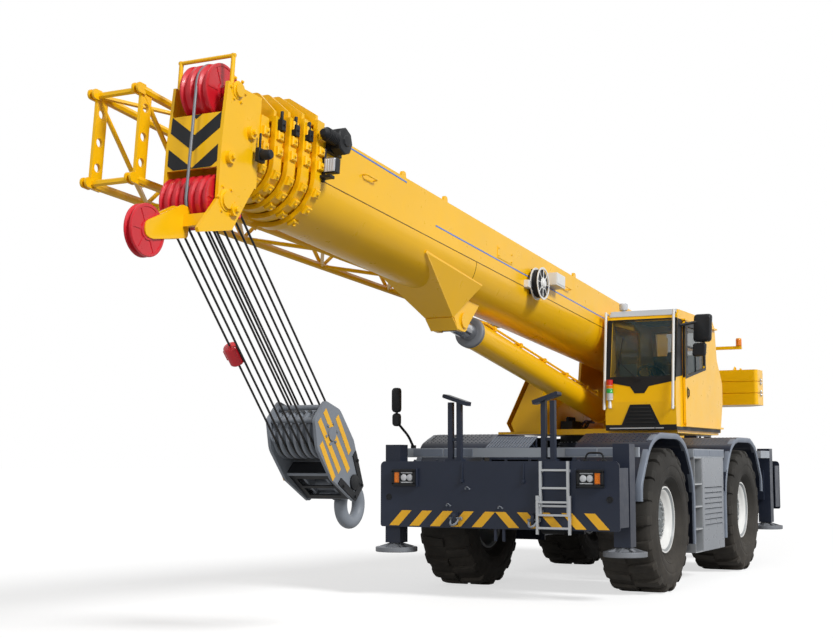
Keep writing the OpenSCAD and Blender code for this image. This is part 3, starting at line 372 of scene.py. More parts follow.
class Shape:
    """A mesh of one body, put together from simple solids in the frame that `at` sets in the world."""

    def __init__(self, body, at=None):
        self.bm = bmesh.new()
        self.body = body
        self.at = HOMES[body] if at is None else at

    def loft(self, rings, loop=False):
        """Skin over closed rings that have equal numbers of points, with flat ends or closed to a loop."""
        n, m = len(rings[0]), len(rings)
        faces = [(k * n + i, k * n + (i + 1) % n, (k + 1) % m * n + (i + 1) % n, (k + 1) % m * n + i)
                 for k in range(m if loop else m - 1) for i in range(n)]
        if not loop:
            faces += [tuple(reversed(range(n))), tuple(range((m - 1) * n, m * n))]
        verts = [self.bm.verts.new(p) for ring in rings for p in ring]
        for face in faces:
            self.bm.faces.new([verts[i] for i in face])

    def box(self, x0, x1, y0, y1, z0, z1):
        self.loft([[(x, y, z) for x, y in rect(x0, x1, y0, y1)] for z in (z0, z1)])

    def prism_x(self, outline, x0, x1):
        self.loft([[(x, a, b) for a, b in outline] for x in (x0, x1)])

    def prism_y(self, outline, y0, y1):
        self.loft([[(a, y, b) for a, b in outline] for y in (y0, y1)])

    def plate_y(self, outline, y, half=0.006):
        """A flat plate square to the y axis, by half its thickness."""
        self.prism_y(outline, y - half, y + half)

    def rod(self, p, q, d, sides=12):
        axis = Vector(q) - Vector(p)
        self.loft([circle(end, axis, d / 2, sides) for end in (p, q)])

    def pipe(self, path, d, sides=8):
        """A round bar along a path."""
        path = [Vector(p) for p in path]
        rings = []
        side = None
        for before, p, after in zip(path[:1] + path, path, path[1:] + path[-1:]):
            axis = (after - before).normalized()
            side = across(axis)[0] if side is None else (side - side.dot(axis) * axis).normalized()
            other = axis.cross(side)
            rings.append([p + d / 2 * (c * side + s * other) for c, s in polar(sides)])
        self.loft(rings)

    def bent(self, path, radii, d, sides=8):
        """A round bar along a path with rounded corners."""
        self.pipe(round_corners(path, radii), d, sides)

    def lathe(self, profile, at, axis, sides):
        """A turned body: (radius, distance along the axis) from one end to the other."""
        axis = Vector(axis).normalized()
        self.loft([circle(Vector(at) + t * axis, axis, max(r, MIN_R), sides) for r, t in profile])

    def turned(self, section, sides=60):
        """A ring round the z axis from a closed (radius, z) section."""
        self.loft([[(r * c, r * s, z) for r, z in section] for c, s in polar(sides)], loop=True)

    def hoop(self, at, section, sides):
        """A ring round the y axis through a point, from a closed (radius, y) section."""
        x, y, z = at
        self.loft([[(x + r * c, y + d, z + r * s) for r, d in section] for c, s in polar(sides)], loop=True)

    def bolts(self, spots, axis, flat, h):
        """Bolt heads on washers."""
        axis = Vector(axis).normalized()
        for at in map(Vector, spots):
            for sides, rows in ((12, ((-0.002, WASHER_R), (0.15 * h, WASHER_R))),
                                (6, ((0, BOLT_R), (0.85 * h, BOLT_R), (h, BOLT_TOP_R)))):
                self.loft([circle(at + d * axis, axis, flat * r, sides) for d, r in rows])

    def studs(self, xs, ys, z, at=WORLD, rows=STUD):
        for x in xs:
            for y in ys:
                self.loft([[at @ Vector((x + a, y + b, z + d)) for a, b in polar(6, r)] for r, d in rows])

    def shell(self, outline, r, rows):
        """A housing along x: a rounded outline, scaled about its middle at each (x, scale) row."""
        yc, zc = (sum(values) / len(outline) for values in zip(*outline))
        ring = rounded(outline, r)
        self.loft([[(x, yc + (y - yc) * k, zc + (z - zc) * k) for y, z in ring] for x, k in rows])

    def piece(self, name, material, slot=None, smooth=35, bevel=0.0):
        obj = new_object(name, self.bm, self.at, material)
        obj.data.set_sharp_from_angle(angle=radians(smooth))
        if bevel:
            edges = obj.modifiers.new("edges", "BEVEL")
            edges.width = bevel
            edges.segments = 2
            edges.limit_method = "ANGLE"
        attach(obj, self.body)
        return obj


def shapes(n, body, at=None):
    return [Shape(body, at) for _ in range(n)]


# Wheels

LUG_N, LUG_HALF, LUG_FOOT, LUG_LEAN = 18, 0.055, 0.064, 0.04
TYRE_SECTION = [(0.416, 0.2655), (0.47, 0.2655), (0.478, 0.272), (0.5, 0.298), (0.53, 0.335),
                (0.556, 0.361), (0.566, 0.359), (0.574, 0.3665), (0.62, 0.376), (0.68, 0.383),
                (0.69, 0.379), (0.7, 0.3845), (0.73, 0.3845), (0.79, 0.367), (0.84, 0.351),
                (0.863, 0.344), (0.88, 0.319), (0.893, 0.294), (0.895, 0.15)]
# Lug from the middle of the tread to the shoulder: across, top radius, foot radius.
LUG_ROWS = [(0.008, 0.935, 0.885), (0.1, 0.935, 0.885), (0.2, 0.935, 0.885), (0.294, 0.932, 0.882),
            (0.33, 0.921, 0.866), (0.36, 0.872, 0.83)]
RIM_DISH = [(0.3843, 0.25), (0.374, 0.246), (0.34, 0.212), (0.318, 0.192), (0.3, 0.182), (0.296, 0.158),
            (0.29, 0.158), (0.291, 0.188), (0.316, 0.202), (0.338, 0.226), (0.37, 0.258), (0.3843, 0.262)]
HUB_COVER = [(0.22, 0.049), (0.222, 0.06), (0.206, 0.066), (0.204, 0.172), (0.198, 0.18), (0.153, 0.1935),
             (0.15, 0.2), (0.1, 0.202), (0.09, 0.21), (0.0, 0.211)]


def wheel_frame(corner):
    """Local z points out of the wheel."""
    at = move(AXLE_X[corner[0]], WHEEL_Y, AXLE_Z) @ turn(-90, "X")
    return FLIP_Y @ at if corner[1] == "r" else at


def tyre(corner):
    """A tyre with lugs that lean and alternate from side to side."""
    shape = Shape("wheel_" + corner, wheel_frame(corner))
    shape.turned(TYRE_SECTION + [(0.895, 0)] + [(r, -z) for r, z in reversed(TYRE_SECTION)], 90)
    for k in range(2 * LUG_N):
        middle = k * pi / LUG_N
        rings = []
        for z, top, foot in LUG_ROWS:
            lean = LUG_LEAN * (0.5 - (z - 0.008) / 0.322)
            half = [(LUG_FOOT, foot), (LUG_HALF, top - 0.004), (LUG_HALF - 0.008, top)]
            edge = [(-t, r) for t, r in half] + half[::-1]
            rings.append([(r * cos(middle + (t + lean) / r), r * sin(middle + (t + lean) / r),
                           -z if k % 2 else z) for t, r in edge])
        shape.loft(rings)
    obj = shape.piece("tyre_skin_" + corner, RUBBER, smooth=32)
    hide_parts("tyre_" + corner)


def wheel_trim(corner):
    """Rim dish and flange ring, web, hub cover, bolts and valve, all but the white dish darkened as painted
    shade.
    """
    dish, web, hub, bolts = shapes(4, "wheel_" + corner, wheel_frame(corner))
    dish.turned(RIM_DISH)
    dish.turned(rect(0.411, 0.43, 0.2825, 0.286))
    dish.piece("rim_dish_" + corner, WHITE)
    web.turned([(0.203, 0.15), (0.296, 0.155), (0.296, 0.166), (0.222, 0.162), (0.203, 0.168)])
    # Painted shade: the web is white paint, darkened as it lies deep in the dish.
    web.piece("rim_web_" + corner, HUB_SHADE_AND_DUST, "white_paint")
    hub.lathe(HUB_COVER, (0, 0, 0), Z, 40)
    hub.piece("hub_cover_" + corner, HUB_SHADE_AND_DUST)
    for n, r, z, flat, h in ((20, 0.25, 0.163, 0.034, 0.03), (12, 0.176, 0.186, 0.02, 0.016),
                             (1, 0.045, 0.21, 0.03, 0.018)):
        bolts.bolts([(x, y, z) for x, y in polar(n, r)], Z, flat, h)
    bolts.pipe([(0.31, 0, 0.185), (0.314, 0, 0.215), (0.325, 0, 0.235)], 0.014)
    bolts.piece("wheel_bolts_" + corner, RIM_SHADE_AND_DUST)


for corner in CORNERS:
    tyre(corner)
    wheel_trim(corner)


# Carrier

FENDER_EDGE = [(-1.21, 0.56), (-1.21, 1.40), (-0.82, 1.92), (-0.45, 2.05), (0.45, 2.05), (0.82, 1.92),
               (1.21, 1.40), (1.21, 1.20)]
FENDER_INNER = [(-1.15, 0.56), (-1.15, 1.40), (-0.784, 1.872), (-0.45, 1.99), (0.45, 1.99), (0.784, 1.872),
                (1.15, 1.40), (1.15, 1.20)]
FENDER_ROUND = (0.26, 0.2, 0.16, 0.16, 0.2, 0.26)
BUMPER_X, LAMP_Y = 4.345, 1.24
DECK_Z = 1.86
# Outer face of the side boxes, and their louvre slots: side, ends, first slot's foot, number.
SIDE_Y, SLOT_PITCH = 1.585, 0.075
SIDE_SLOTS = ((1, -0.379, 0.569, 0.77, 8), (-1, -0.379, 0.979, 0.9, 6))


def fender_lip():
    """Rings of a moulding that wraps the edge of a fender's sheet."""
    rings = []
    for a, b in zip(round_corners(FENDER_EDGE, FENDER_ROUND), round_corners(FENDER_INNER, FENDER_ROUND)):
        out = (a - b).normalized()
        a2, a3, b2 = a + 0.007 * out, a - 0.02 * out, b - 0.008 * out
        edge = ((a2, 1.525), (a2, 1.59), (a + 0.001 * out, 1.603), (a - 0.012 * out, 1.607),
                (b + 0.012 * out, 1.607), (b2, 1.6), (b2, 1.575), (b + 0.004 * out, 1.575), (a3, 1.575),
                (a3, 1.525))
        rings.append([(v.x, y, v.y) for v, y in edge])
    return rings


def fender_trim(axle):
    middle = move(AXLE_X[axle], 0, 0)
    for at, side in both_sides(middle if axle == "f" else middle @ FLIP_X):
        lip = Shape("carrier", at)
        lip.loft(fender_lip())
        lip.piece("fender_lip_%s_%s" % (axle, side), LIP, smooth=50)
        studs = Shape("carrier", at)
        ys = span(0.7, 1.54, 15)
        studs.studs(span(-0.36, 0.36, 13), ys, 2.05)
        # Rows on the sloping sheets in front of and behind the flat top.
        run, fall = 0.33, -0.116
        for s in SIDES:
            slope = move(s * 0.47, 0, 2.043) @ Matrix.Rotation(-atan2(fall, s * run), 4, "Y")
            studs.studs(span(0.04, hypot(run, fall) - 0.04, 5), ys, 0, slope, SLOPE_STUD)
        studs.piece("fender_studs_%s_%s" % (axle, side), SLATE)


def hazard_stripes(at, end):
    stripes = Shape("carrier", at)
    for s in SIDES:
        for y in (0.287 * k for k in range(5)):
            outline = ((y, 1.075), (y + 0.135, 1.075), (y + 0.315, 0.885), (y + 0.18, 0.885))
            stripes.prism_x([(s * a, b) for a, b in outline], BUMPER_X - 0.001, BUMPER_X + 0.003)
    stripes.piece("hazard_stripes_" + end, STRIPE)


def bumper_lamps(at, end):
    """Frames round the CAD housings, two round lenses under ribs, and a turn lens on the outer side."""
    frames, lenses, turns = shapes(3, "carrier", at)
    for s in SIDES:
        y0 = s * LAMP_Y
        bar = s * 0.05
        for a0, a1, z0, z1 in ((-0.165, 0.165, 1.552, 1.59), (-0.165, 0.165, 1.38, 1.418),
                               (-0.165, -0.13, 1.4, 1.57), (0.13, 0.165, 1.4, 1.57),
                               (bar - 0.008, bar + 0.008, 1.4, 1.57)):
            frames.box(BUMPER_X, BUMPER_X + 0.056, y0 + a0, y0 + a1, z0, z1)
        inner = [y0 - s * 0.13, y0 + s * 0.042]
        outer = [y0 + s * 0.058, y0 + s * 0.13]
        for k in (0.25, 0.75):
            y = inner[0] + (inner[1] - inner[0]) * k
            lenses.lathe([(0.042, 0.036), (0.043, 0.044), (0.036, 0.049), (0.0, 0.052)],
                         (BUMPER_X, y, 1.485), X, 24)
        for z in (1.425, 1.545):
            lenses.box(BUMPER_X + 0.036, BUMPER_X + 0.043, *inner, z - 0.007, z + 0.007)
        turns.box(BUMPER_X + 0.03, BUMPER_X + 0.046, *outer, 1.42, 1.55)
        for z in span(1.435, 1.535, 5):
            turns.box(BUMPER_X + 0.04, BUMPER_X + 0.05, outer[0] + s * 0.006, outer[1] - s * 0.006,
                      z - 0.005, z + 0.005)
    frames.piece("lamp_frames_" + end, BLACK, bevel=0.003)
    lenses.piece("lamp_lenses_" + end, LENS if end == "front" else RED_LENS, bevel=0.003)
    turns.piece("turn_lenses_" + end, AMBER, bevel=0.003)


def bumper_fittings(at, end):
    """Shackles in the tow lugs, lashing eyes, ribs, guard plates beside the lamps, a handle and caps."""
    steel, ribs, loops = shapes(3, "carrier", at)
    x, z = BUMPER_X + 0.045, 0.988
    for y in (-0.52, 0.52):
        bow = [(x + 0.02 + 0.075 * sin(t), y + 0.048 * cos(t), z - 0.02 - 0.06 * sin(t))
               for t in span(0, pi, 11)]
        steel.pipe([(x, y + 0.045, z)] + bow + [(x, y - 0.045, z)], 0.026)
        steel.rod((x, y - 0.075, z), (x, y + 0.075, z), 0.03)
        steel.bolts([(x, y + 0.072, z)], Y, 0.036, 0.02)
    for y, z in ((-0.63, 1.14), (0.07, 1.12), (-0.37, 1.35)):
        steel.pipe([(BUMPER_X + 0.01 + 0.022 * sin(t), y + 0.027 * cos(t), z + 0.024 * sin(t))
                    for t in span(0, pi, 9)], 0.011)
        for foot in (y - 0.027, y + 0.027):
            steel.rod((BUMPER_X - 0.002, foot, z), (BUMPER_X + 0.016, foot, z), 0.018)
    steel.piece("shackles_" + end, CAST)
    for y in (-0.44, 0.38):
        for half, profile in ((0.006, ((-0.001, 1.44), (0.022, 1.46), (0.012, 1.66), (-0.001, 1.67))),
                              (0.014, ((-0.001, 1.42), (0.035, 1.43), (0.035, 1.46), (-0.001, 1.47)))):
            ribs.plate_y([(BUMPER_X + d, h) for d, h in profile], y, half)
    ribs.bolts([(4.0, y, 1.69) for y in span(-1.276, 1.276, 9)], Z, 0.03, 0.02)
    for y in (-1.06, 1.06):
        ribs.box(BUMPER_X - 0.001, BUMPER_X + 0.05, y - 0.006, y + 0.006, 1.37, 1.6)
    ribs.piece("bumper_ribs_" + end, SLATE, bevel=0.002)
    loops.bent([(4.1, 1.08, 1.688), (4.1, 1.1, 1.79), (4.1, 1.3, 1.79), (4.1, 1.32, 1.688)], 0.05, 0.024)
    cap = [(0.04, -0.001), (0.04, 0.006), (0.033, 0.008), (0.03, 0.003), (0.0, 0.003)]
    for y in (-1.47, 1.47):
        loops.lathe(cap, (BUMPER_X, y, 1.24), X, 24)
    for y in (1.08, 1.32):
        loops.lathe([(0.03, -0.002), (0.03, 0.012), (0.016, 0.018)], (4.1, y, 1.69), Z, 16)
    loops.piece("bumper_handle_" + end, BLACK)


def deck_bands():
    band = Shape("carrier")
    for s in SIDES:
        for y0, y1 in ((0.64, 1.05), (1.07, 1.5)):
            for x in (3.599, -3.606):
                band.box(x, x + 0.007, s * y0, s * y1, 1.755, 1.848)
        for x0, x1 in ((-0.5, 0.28), (0.32, 1.1)):
            band.box(x0, x1, s * 1.589, s * 1.596, 1.76, 1.845)
    band.piece("deck_bands", LIP, bevel=0.002)


def deck_pipes():
    """Oil pipes clamped to the deck on the right of the slewing ring."""
    pipes, clamps = shapes(2, "carrier")
    foot = DECK_Z - 0.004
    for k in range(4):
        x0, x1, y, z = 1.0 - 0.04 * k, -0.45 + 0.04 * k, -0.86 - 0.012 * k, 1.888 + k * 0.042
        pipes.bent([(x0, y, foot), (x0, y, z), (x1, y, z), (x1, y, foot)], 0.02, 0.036, 10)
    pipes.piece("deck_pipes", IRON)
    for x in (-0.2, 0.28, 0.76):
        clamps.box(x - 0.03, x + 0.03, -0.93, -0.835, foot, 2.036)
        clamps.bolts([(x, -0.835, z) for z in (1.9, 1.99)], Y, 0.024, 0.014)
    clamps.piece("deck_clamps", BLACK, bevel=0.004)


def louvre_blades():
    """Blades just inside the slots of the side boxes."""
    blades = Shape("carrier")
    for s, x0, x1, foot, n in SIDE_SLOTS:
        for z in (foot + k * SLOT_PITCH for k in range(n)):
            profile = ((0.002, 0.001), (0.002, 0.006), (0.03, 0.032), (0.03, 0.027))
            blades.prism_x([(s * (SIDE_Y - d), z + h) for d, h in profile], x0, x1)
    blades.piece("louvre_blades", PANEL)


def deck_steps():
    """Studs on the deck, and a sloping step plate with open mesh in front of the turntable."""
    studs = Shape("carrier")
    studs.studs(span(-0.45, 1.05, 22), span(1.06, 1.54, 8) + span(-1.54, -1.3, 5), DECK_Z)
    studs.studs(span(-2.55, -2.4, 3) + span(2.2, 3.3, 16), span(-0.52, 0.52, 15), DECK_Z)
    studs.piece("deck_studs", SLATE)
    grid = Shape("carrier", move(3.52, -0.19, 1.858) @ turn(24, "Y"))
    for y in span(-0.29, 0.29, 15):
        grid.box(-0.34, 0.0, y - 0.008, y + 0.008, 0.0, 0.012)
    for x in span(-0.34, 0.0, 9):
        grid.box(x - 0.008, x + 0.008, -0.298, 0.298, 0.0015, 0.0135)
    grid.piece("step_grating", LIP)
    legs = Shape("carrier")
    for y in (-0.47, 0.09):
        legs.plate_y([(3.2, 1.858), (3.23, 1.858), (3.23, 1.987), (3.2, 2.0)], y, 0.008)
        legs.box(3.17, 3.26, y - 0.03, y + 0.03, 1.858, 1.87)
    legs.piece("step_legs", SLATE)


def front_mirror():
    """Rounded housings on a bent arm, in place of the plain CAD blocks."""
    x, y = 4.03, -1.515
    shape, pane = shapes(2, "carrier")
    shape.box(3.555, 3.595, y - 0.03, y + 0.03, 1.86, 1.9)
    shape.bent([(3.575, y, 1.875), (3.72, y, 2.02), (4.055, y, 2.2), (4.055, y, 2.4)], 0.08, 0.034, 12)
    rows = ((0.0, 0.96), (0.12, 1.0), (0.55, 1.0), (0.85, 0.93), (1.0, 0.8))
    for z0, z1, half, depth in ((2.32, 2.64, 0.06, 0.07), (2.14, 2.31, 0.055, 0.06)):
        shape.shell(rect(y - half, y + half, z0, z1), 0.045, [(x + depth * t, k) for t, k in rows])
    obj = shape.piece("front_mirror", BLACK)
    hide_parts("carrier_mirror")
    for z0, z1, half in ((2.335, 2.625, 0.05), (2.152, 2.298, 0.046)):
        pane.prism_x(rounded(rect(y - half, y + half, z0, z1), 0.035), x - 0.003, x + 0.004)
    pane.piece("front_mirror_panes", MIRROR)


for axle in "fr":
    fender_trim(axle)
for bumper, end in ((WORLD, "front"), (FLIP_X, "rear")):
    hazard_stripes(bumper, end)
    bumper_lamps(bumper, end)
    bumper_fittings(bumper, end)
deck_bands()
deck_pipes()
louvre_blades()
deck_steps()
front_mirror()


# Superstructure: cab

CAB_Y = (0.502, 1.508)
DOOR_Y = 1.5515
SIGNAL_AT = (1.706, 0.585, 0)
SIGNALS = (("red", 0.665, 0.742, RED_LENS), ("amber", 0.62, 0.663, AMBER),
           ("green", 0.555, 0.618, GREEN_LENS), ("white", 0.48, 0.553, LENS))


def on_front(y, z, d):
    """A point a distance off the cab's front face, at a height over the ring."""
    if z > 0.76:
        x = 1.64 - (z - 0.76) * 0.14 / 0.87
    elif z > 0.43:
        x = 1.66 - (z - 0.43) * 0.02 / 0.33
    else:
        x = 1.64 + (z - 0.04) * 0.02 / 0.39
    return Vector((x + d, y, z))


def sheet_on_front(shape, outline, lift=0.005):
    """A thin panel on the cab's front face, from (y, height) points that lie on one flat of it."""
    shape.loft([[on_front(y, z, d) for y, z in outline] for d in (-0.001, lift)])


def cab_surround():
    """Black frame of the windscreen, apron, grille panel, skirt, and the pillar in front of the door."""
    dark, strip, wiper = shapes(3, "superstructure")
    y0, y1 = CAB_Y
    for outline in (rect(y0, 0.575, 0.7601, 1.59), rect(1.435, y1, 0.7601, 1.59),
                    rect(0.575, 1.435, 1.57, 1.59), rect(0.575, 1.435, 0.7601, 0.782)):
        sheet_on_front(dark, outline)
    sheet_on_front(dark, [(y0, 0.7599), (y0, 0.715), (0.86, 0.645), (0.925, 0.55), (1.065, 0.55),
                          (1.13, 0.645), (y1, 0.715), (y1, 0.7599)])
    sheet_on_front(dark, [(0.725, 0.1), (1.285, 0.1), (1.148, 0.396), (0.862, 0.396)], 0.008)
    for k in range(5):
        z, half = 0.14 + k * 0.05, 0.205 - k * 0.02
        x = on_front(0, z, 0.007).x
        dark.plate_y([(x, z), (x + 0.008, z - 0.004), (x + 0.008, z + 0.008), (x, z + 0.02)], 1.005, half)
    dark.box(1.636, 1.652, y0, y1, 0.042, 0.118)
    dark.box(-0.66, 1.645, y1, 1.514, 0.042, 0.09)
    dark.prism_y([(1.645, 0.76), (1.508, 1.58), (1.3, 1.58), (1.335, 0.99), (1.335, 0.8)], 1.5085, 1.5145)
    dark.piece("cab_surround", BLACK, bevel=0.0015)
    strip.box(1.65, 1.662, 0.56, 1.2, 0.062, 0.078)
    strip.box(1.65, 1.66, 1.215, 1.33, 0.062, 0.078)
    strip.piece("cab_strip", SILVER, bevel=0.002)
    # Arm and blade of the wiper.
    pivot, tip, ahead = on_front(0.98, 0.74, 0.02), on_front(0.7, 1.0, 0.028), Vector(X)
    wiper.rod(pivot - 0.03 * ahead, pivot + 0.012 * ahead, 0.04, 16)
    wiper.pipe([pivot, (pivot + tip) / 2 + 0.012 * ahead, tip], 0.014)
    wiper.pipe([on_front(0.64, 0.82, 0.016), tip - 0.008 * ahead, on_front(0.74, 1.32, 0.016)], 0.012)
    wiper.piece("wiper", BLACK)


def cab_mirrors():
    """Housings over the CAD ones, with glass on the side that faces the operator."""
    shells, panes = shapes(2, "superstructure")
    for outline, x0, x1, r in (
            ([(1.652, 1.262), (1.898, 1.262), (1.918, 1.648), (1.672, 1.648)], 1.192, 1.29, 0.05),
            ([(1.633, 1.063), (1.817, 1.063), (1.833, 1.248), (1.648, 1.248)], 1.197, 1.282, 0.04)):
        rows = ((x0, 0.97), (x0 + 0.01, 1.0), (x1 - 0.045, 1.0), (x1 - 0.015, 0.95), (x1, 0.84))
        shells.shell(outline, r, rows)
    shells.pipe([(1.4, 1.512, 1.49), (1.32, 1.64, 1.52), (1.235, 1.76, 1.555)], 0.04)
    shells.piece("mirror_shells", BLACK)
    panes.prism_x([(1.68, 1.285), (1.875, 1.285), (1.893, 1.625), (1.698, 1.625)], 1.19, 1.198)
    panes.prism_x([(1.665, 1.085), (1.8, 1.085), (1.812, 1.225), (1.68, 1.225)], 1.194, 1.202)
    panes.piece("mirror_panes", MIRROR, bevel=0.002)


def ribbed(r, z0, z1, n):
    """The ribbed part of a lamp's turned profile."""
    return [(r - 0.002 * (k % 2), z) for k, z in enumerate(span(z0, z1, n))]


def cab_lamps():
    """Signal tower over its CAD post, guard rods, and the roof light's glass in front of the CAD body."""
    for name, z0, z1, look in SIGNALS:
        ring = Shape("superstructure")
        top_r = 0.0 if name == "red" else 0.03
        ring.lathe([(0.044, z0 + 0.001), (0.0465, z0 + 0.004)] + ribbed(0.0465, z0 + 0.008, z1 - 0.008, 9)
                   + [(0.0465, z1 - 0.004), (0.044, z1 - 0.001), (top_r, z1 + 0.001)], SIGNAL_AT, Z, 28)
        ring.piece("signal_" + name, look)
    foot, rods, light = shapes(3, "superstructure")
    foot.lathe([(0.02, 0.346), (0.026, 0.352), (0.026, 0.385), (0.019, 0.4), (0.019, 0.455), (0.043, 0.462),
                (0.0435, 0.482)], SIGNAL_AT, Z, 28)
    foot.piece("signal_foot", WHITE)
    for y in (0.506, 1.48):
        rods.rod((1.7215, y, 0.326), (1.5885, y, 1.694), 0.037, 14)
    rods.piece("guard_rods", WHITE)
    light.lathe([(0.058, 1.742), (0.061, 1.75), (0.061, 1.822), (0.052, 1.834), (0.0, 1.836)],
                (1.365, 0.69, 0), Z, 28)
    light.piece("roof_light", LENS)


def roof_hatch():
    roof = Shape("superstructure")
    for x0, x1, y0, y1 in ((0.47, 0.5, 0.585, 1.425), (1.3, 1.33, 0.585, 1.425), (0.5, 1.3, 0.585, 0.612),
                           (0.5, 1.3, 1.398, 1.425)):
        roof.box(x0, x1, y0, y1, 1.706, 1.722)
    roof.piece("roof_hatch_frame", BLACK, bevel=0.003)


def door_trim():
    """Black window frame with dividers, front edge and handle of the sliding door."""
    outer = [(0.25, 0.935), (1.318, 0.752), (1.318, 0.99), (1.287, 1.555), (0.25, 1.555)]
    inner = [(0.302, 0.963), (1.218, 0.804), (1.213, 0.96), (1.19, 1.488), (0.302, 1.488)]
    shape, handle = shapes(2, "door")
    y0, y1 = DOOR_Y, DOOR_Y + 0.006
    shape.loft([[(xa, y0, za), (xa, y1, za), (xb, y1, zb), (xb, y0 - 0.018, zb)]
                for (xa, za), (xb, zb) in zip(outer, inner)], loop=True)
    shape.box(0.29, 1.21, 1.527, 1.548, 1.2, 1.225)
    shape.box(0.73, 0.755, 1.527, 1.548, 0.88, 1.2)
    shape.piece("door_frame", BLACK, bevel=0.002)
    # The step between the door's front edge and the pillar: paint below the window, seal beside it.
    for name, edge, look in (("door_edge", ((1.3198, 0.155), (1.3198, 0.77)), YELLOW),
                             ("door_seal", ((1.3198, 0.77), (1.3198, 0.99), (1.2865, 1.52)), BLACK)):
        strip = Shape("door")
        strip.loft([[(x + a, b, z) for a, b in rect(0, 0.003, 1.518, 1.5505)] for x, z in edge])
        strip.piece(name, look)
    x, z = 1.225, 0.56
    oval = polar(28)
    handle.prism_y([(x + 0.024 * c, z + 0.085 * s) for c, s in oval], y0 - 0.001, y0 + 0.004)
    handle.prism_y([(x + 0.018 * c, z + 0.0731 * s) for c, s in oval], y0 + 0.003, y0 + 0.007)
    grip = ((0.004, -0.06), (0.022, -0.04), (0.022, 0.04), (0.004, 0.06))
    handle.pipe([(x, y0 + d, z + h) for d, h in grip], 0.016)
    handle.piece("door_handle", BLACK)


CUSHION_CUTS, CUSHION_POWER, CUSHION_WAIST = 17, 7, 0.965
SEWN_DEPTH, SEWN_WIDTH, SEWN_EDGE = 0.008, 0.009, 0.72


def cushion(name, at, size, crown, channels):
    """A crowned pad whose sides draw in between its corners, with sewn channels across its face."""
    bm = bmesh.new()
    bmesh.ops.create_cube(bm, size=2)
    bmesh.ops.subdivide_edges(bm, edges=bm.edges, cuts=CUSHION_CUTS, use_grid_fill=True)
    sx, sy, sz = (s / 2 for s in size)
    for v in bm.verts:
        p = v.co / sum(abs(c) ** CUSHION_POWER for c in v.co) ** (1 / CUSHION_POWER)
        swell = (1 - p.x ** 2) * (1 - p.y ** 2)
        x = sx * p.x * (CUSHION_WAIST + (1 - CUSHION_WAIST) * abs(p.y) ** 3)
        y = sy * p.y * (CUSHION_WAIST + (1 - CUSHION_WAIST) * abs(p.x) ** 3)
        z = sz * p.z * (1 - crown + crown * swell) if p.z > 0 else sz * p.z
        if p.z > 0.6:
            for k in range(1, channels + 1):
                d = (p.x - (2 * k / (channels + 1) - 1)) * sx
                z -= SEWN_DEPTH * exp(-(d / SEWN_WIDTH) ** 2) * max(0, 1 - abs(p.y) ** 8)
            d = (abs(p.y) - SEWN_EDGE) * sy
            z -= SEWN_DEPTH * exp(-(d / SEWN_WIDTH) ** 2)
        v.co = (x, y, z)
    obj = new_object(name, bm, at, CLOTH)
    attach(obj, "superstructure")
    return obj


SEAT_Y = 1.005
# Name, place, lean, size, crown, channels and fill of each cushion.
CUSHIONS = (("seat_pad", (0.14, 0.505), 0, (0.52, 0.42, 0.13), 0.22, 2, 0.7),
            ("seat_back", (-0.06, 0.815), 83, (0.5, 0.4, 0.13), 0.2, 2, 0.7),
            ("seat_head", (-0.115, 1.17), 83, (0.15, 0.26, 0.09), 0.2, 0, 0.75))


def seat():
    """Base with bellows and arm rests, and the cushions, in place of the CAD seat."""
    y = SEAT_Y
    base = Shape("superstructure")
    base.box(-0.02, 0.3, y - 0.17, y + 0.17, 0.086, 0.12)
    for k in range(6):
        z, half = 0.12 + k * 0.045, 0.15 - 0.015 * (k % 2)
        base.box(0.14 - half, 0.14 + half, y - half, y + half, z, z + 0.045)
    base.box(-0.1, 0.36, y - 0.2, y + 0.2, 0.39, 0.44)
    for s in SIDES:
        arm, post = y + s * 0.225, y + s * 0.06
        base.plate_y([(-0.08, 0.62), (0.26, 0.6), (0.27, 0.635), (-0.08, 0.66)], arm, 0.018)
        base.rod((-0.06, arm, 0.45), (-0.06, arm, 0.64), 0.03)
        base.rod((-0.135, post, 1.02), (-0.15, post, 1.18), 0.016)
    obj = base.piece("seat_base", BLACK, bevel=0.006)
    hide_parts("cab_seat")
    for name, (x, z), lean, size, crown, channels, fill in CUSHIONS:
        pad = cushion(name, RING @ move(x, y, z) @ turn(lean, "Y"), size, crown, channels)
        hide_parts("cab_seat")


def cab_inside():
    """Floor, wall, roof and rear lining, roof console, side consoles with levers, and display."""
    lining = Shape("superstructure")
    lining.box(-0.6, 1.3, 0.548, 1.462, 0.086, 0.094)
    lining.box(-0.55, 1.28, 0.5455, 0.552, 0.1, 0.78)
    lining.box(-0.29, 0.48, 0.56, 1.45, 1.655, 1.664)
    lining.prism_y([(-0.667, 0.1), (-0.694, 0.195), (-0.79, 0.497), (-0.79, 0.772), (-0.512, 1.112),
                    (-0.493, 1.215), (-0.481, 1.215), (-0.5, 1.106), (-0.778, 0.766), (-0.778, 0.5),
                    (-0.682, 0.198), (-0.655, 0.1)], 0.548, 1.462)
    lining.prism_y([(0.5, 1.66), (1.28, 1.655), (1.24, 1.6), (0.55, 1.62)], 0.56, 0.6)
    for y in (0.68, 1.33):
        lining.plate_y([(-0.12, 0.4), (0.42, 0.4), (0.46, 0.6), (0.38, 0.65), (-0.1, 0.62)], y, 0.06)
        lining.pipe([(0.36, y, 0.63), (0.38, y, 0.72), (0.36, y, 0.78)], 0.03)
        lining.lathe([(0.016, -0.01), (0.026, 0.0), (0.03, 0.03), (0.022, 0.06), (0.0, 0.065)],
                     (0.36, y, 0.77), Z, 16)
    lining.prism_y([(1.35, 0.72), (1.38, 0.72), (1.33, 0.98), (1.3, 0.97)], 0.62, 0.86)
    lining.rod((1.42, 0.74, 0.66), (1.345, 0.74, 0.78), 0.03)
    lining.piece("cab_lining", LINING, bevel=0.004)


cab_surround()
cab_mirrors()
cab_lamps()
roof_hatch()
door_trim()
seat()
cab_inside()


# Superstructure: turntable, tank, winches and counterweight

ROPE_D = 0.022


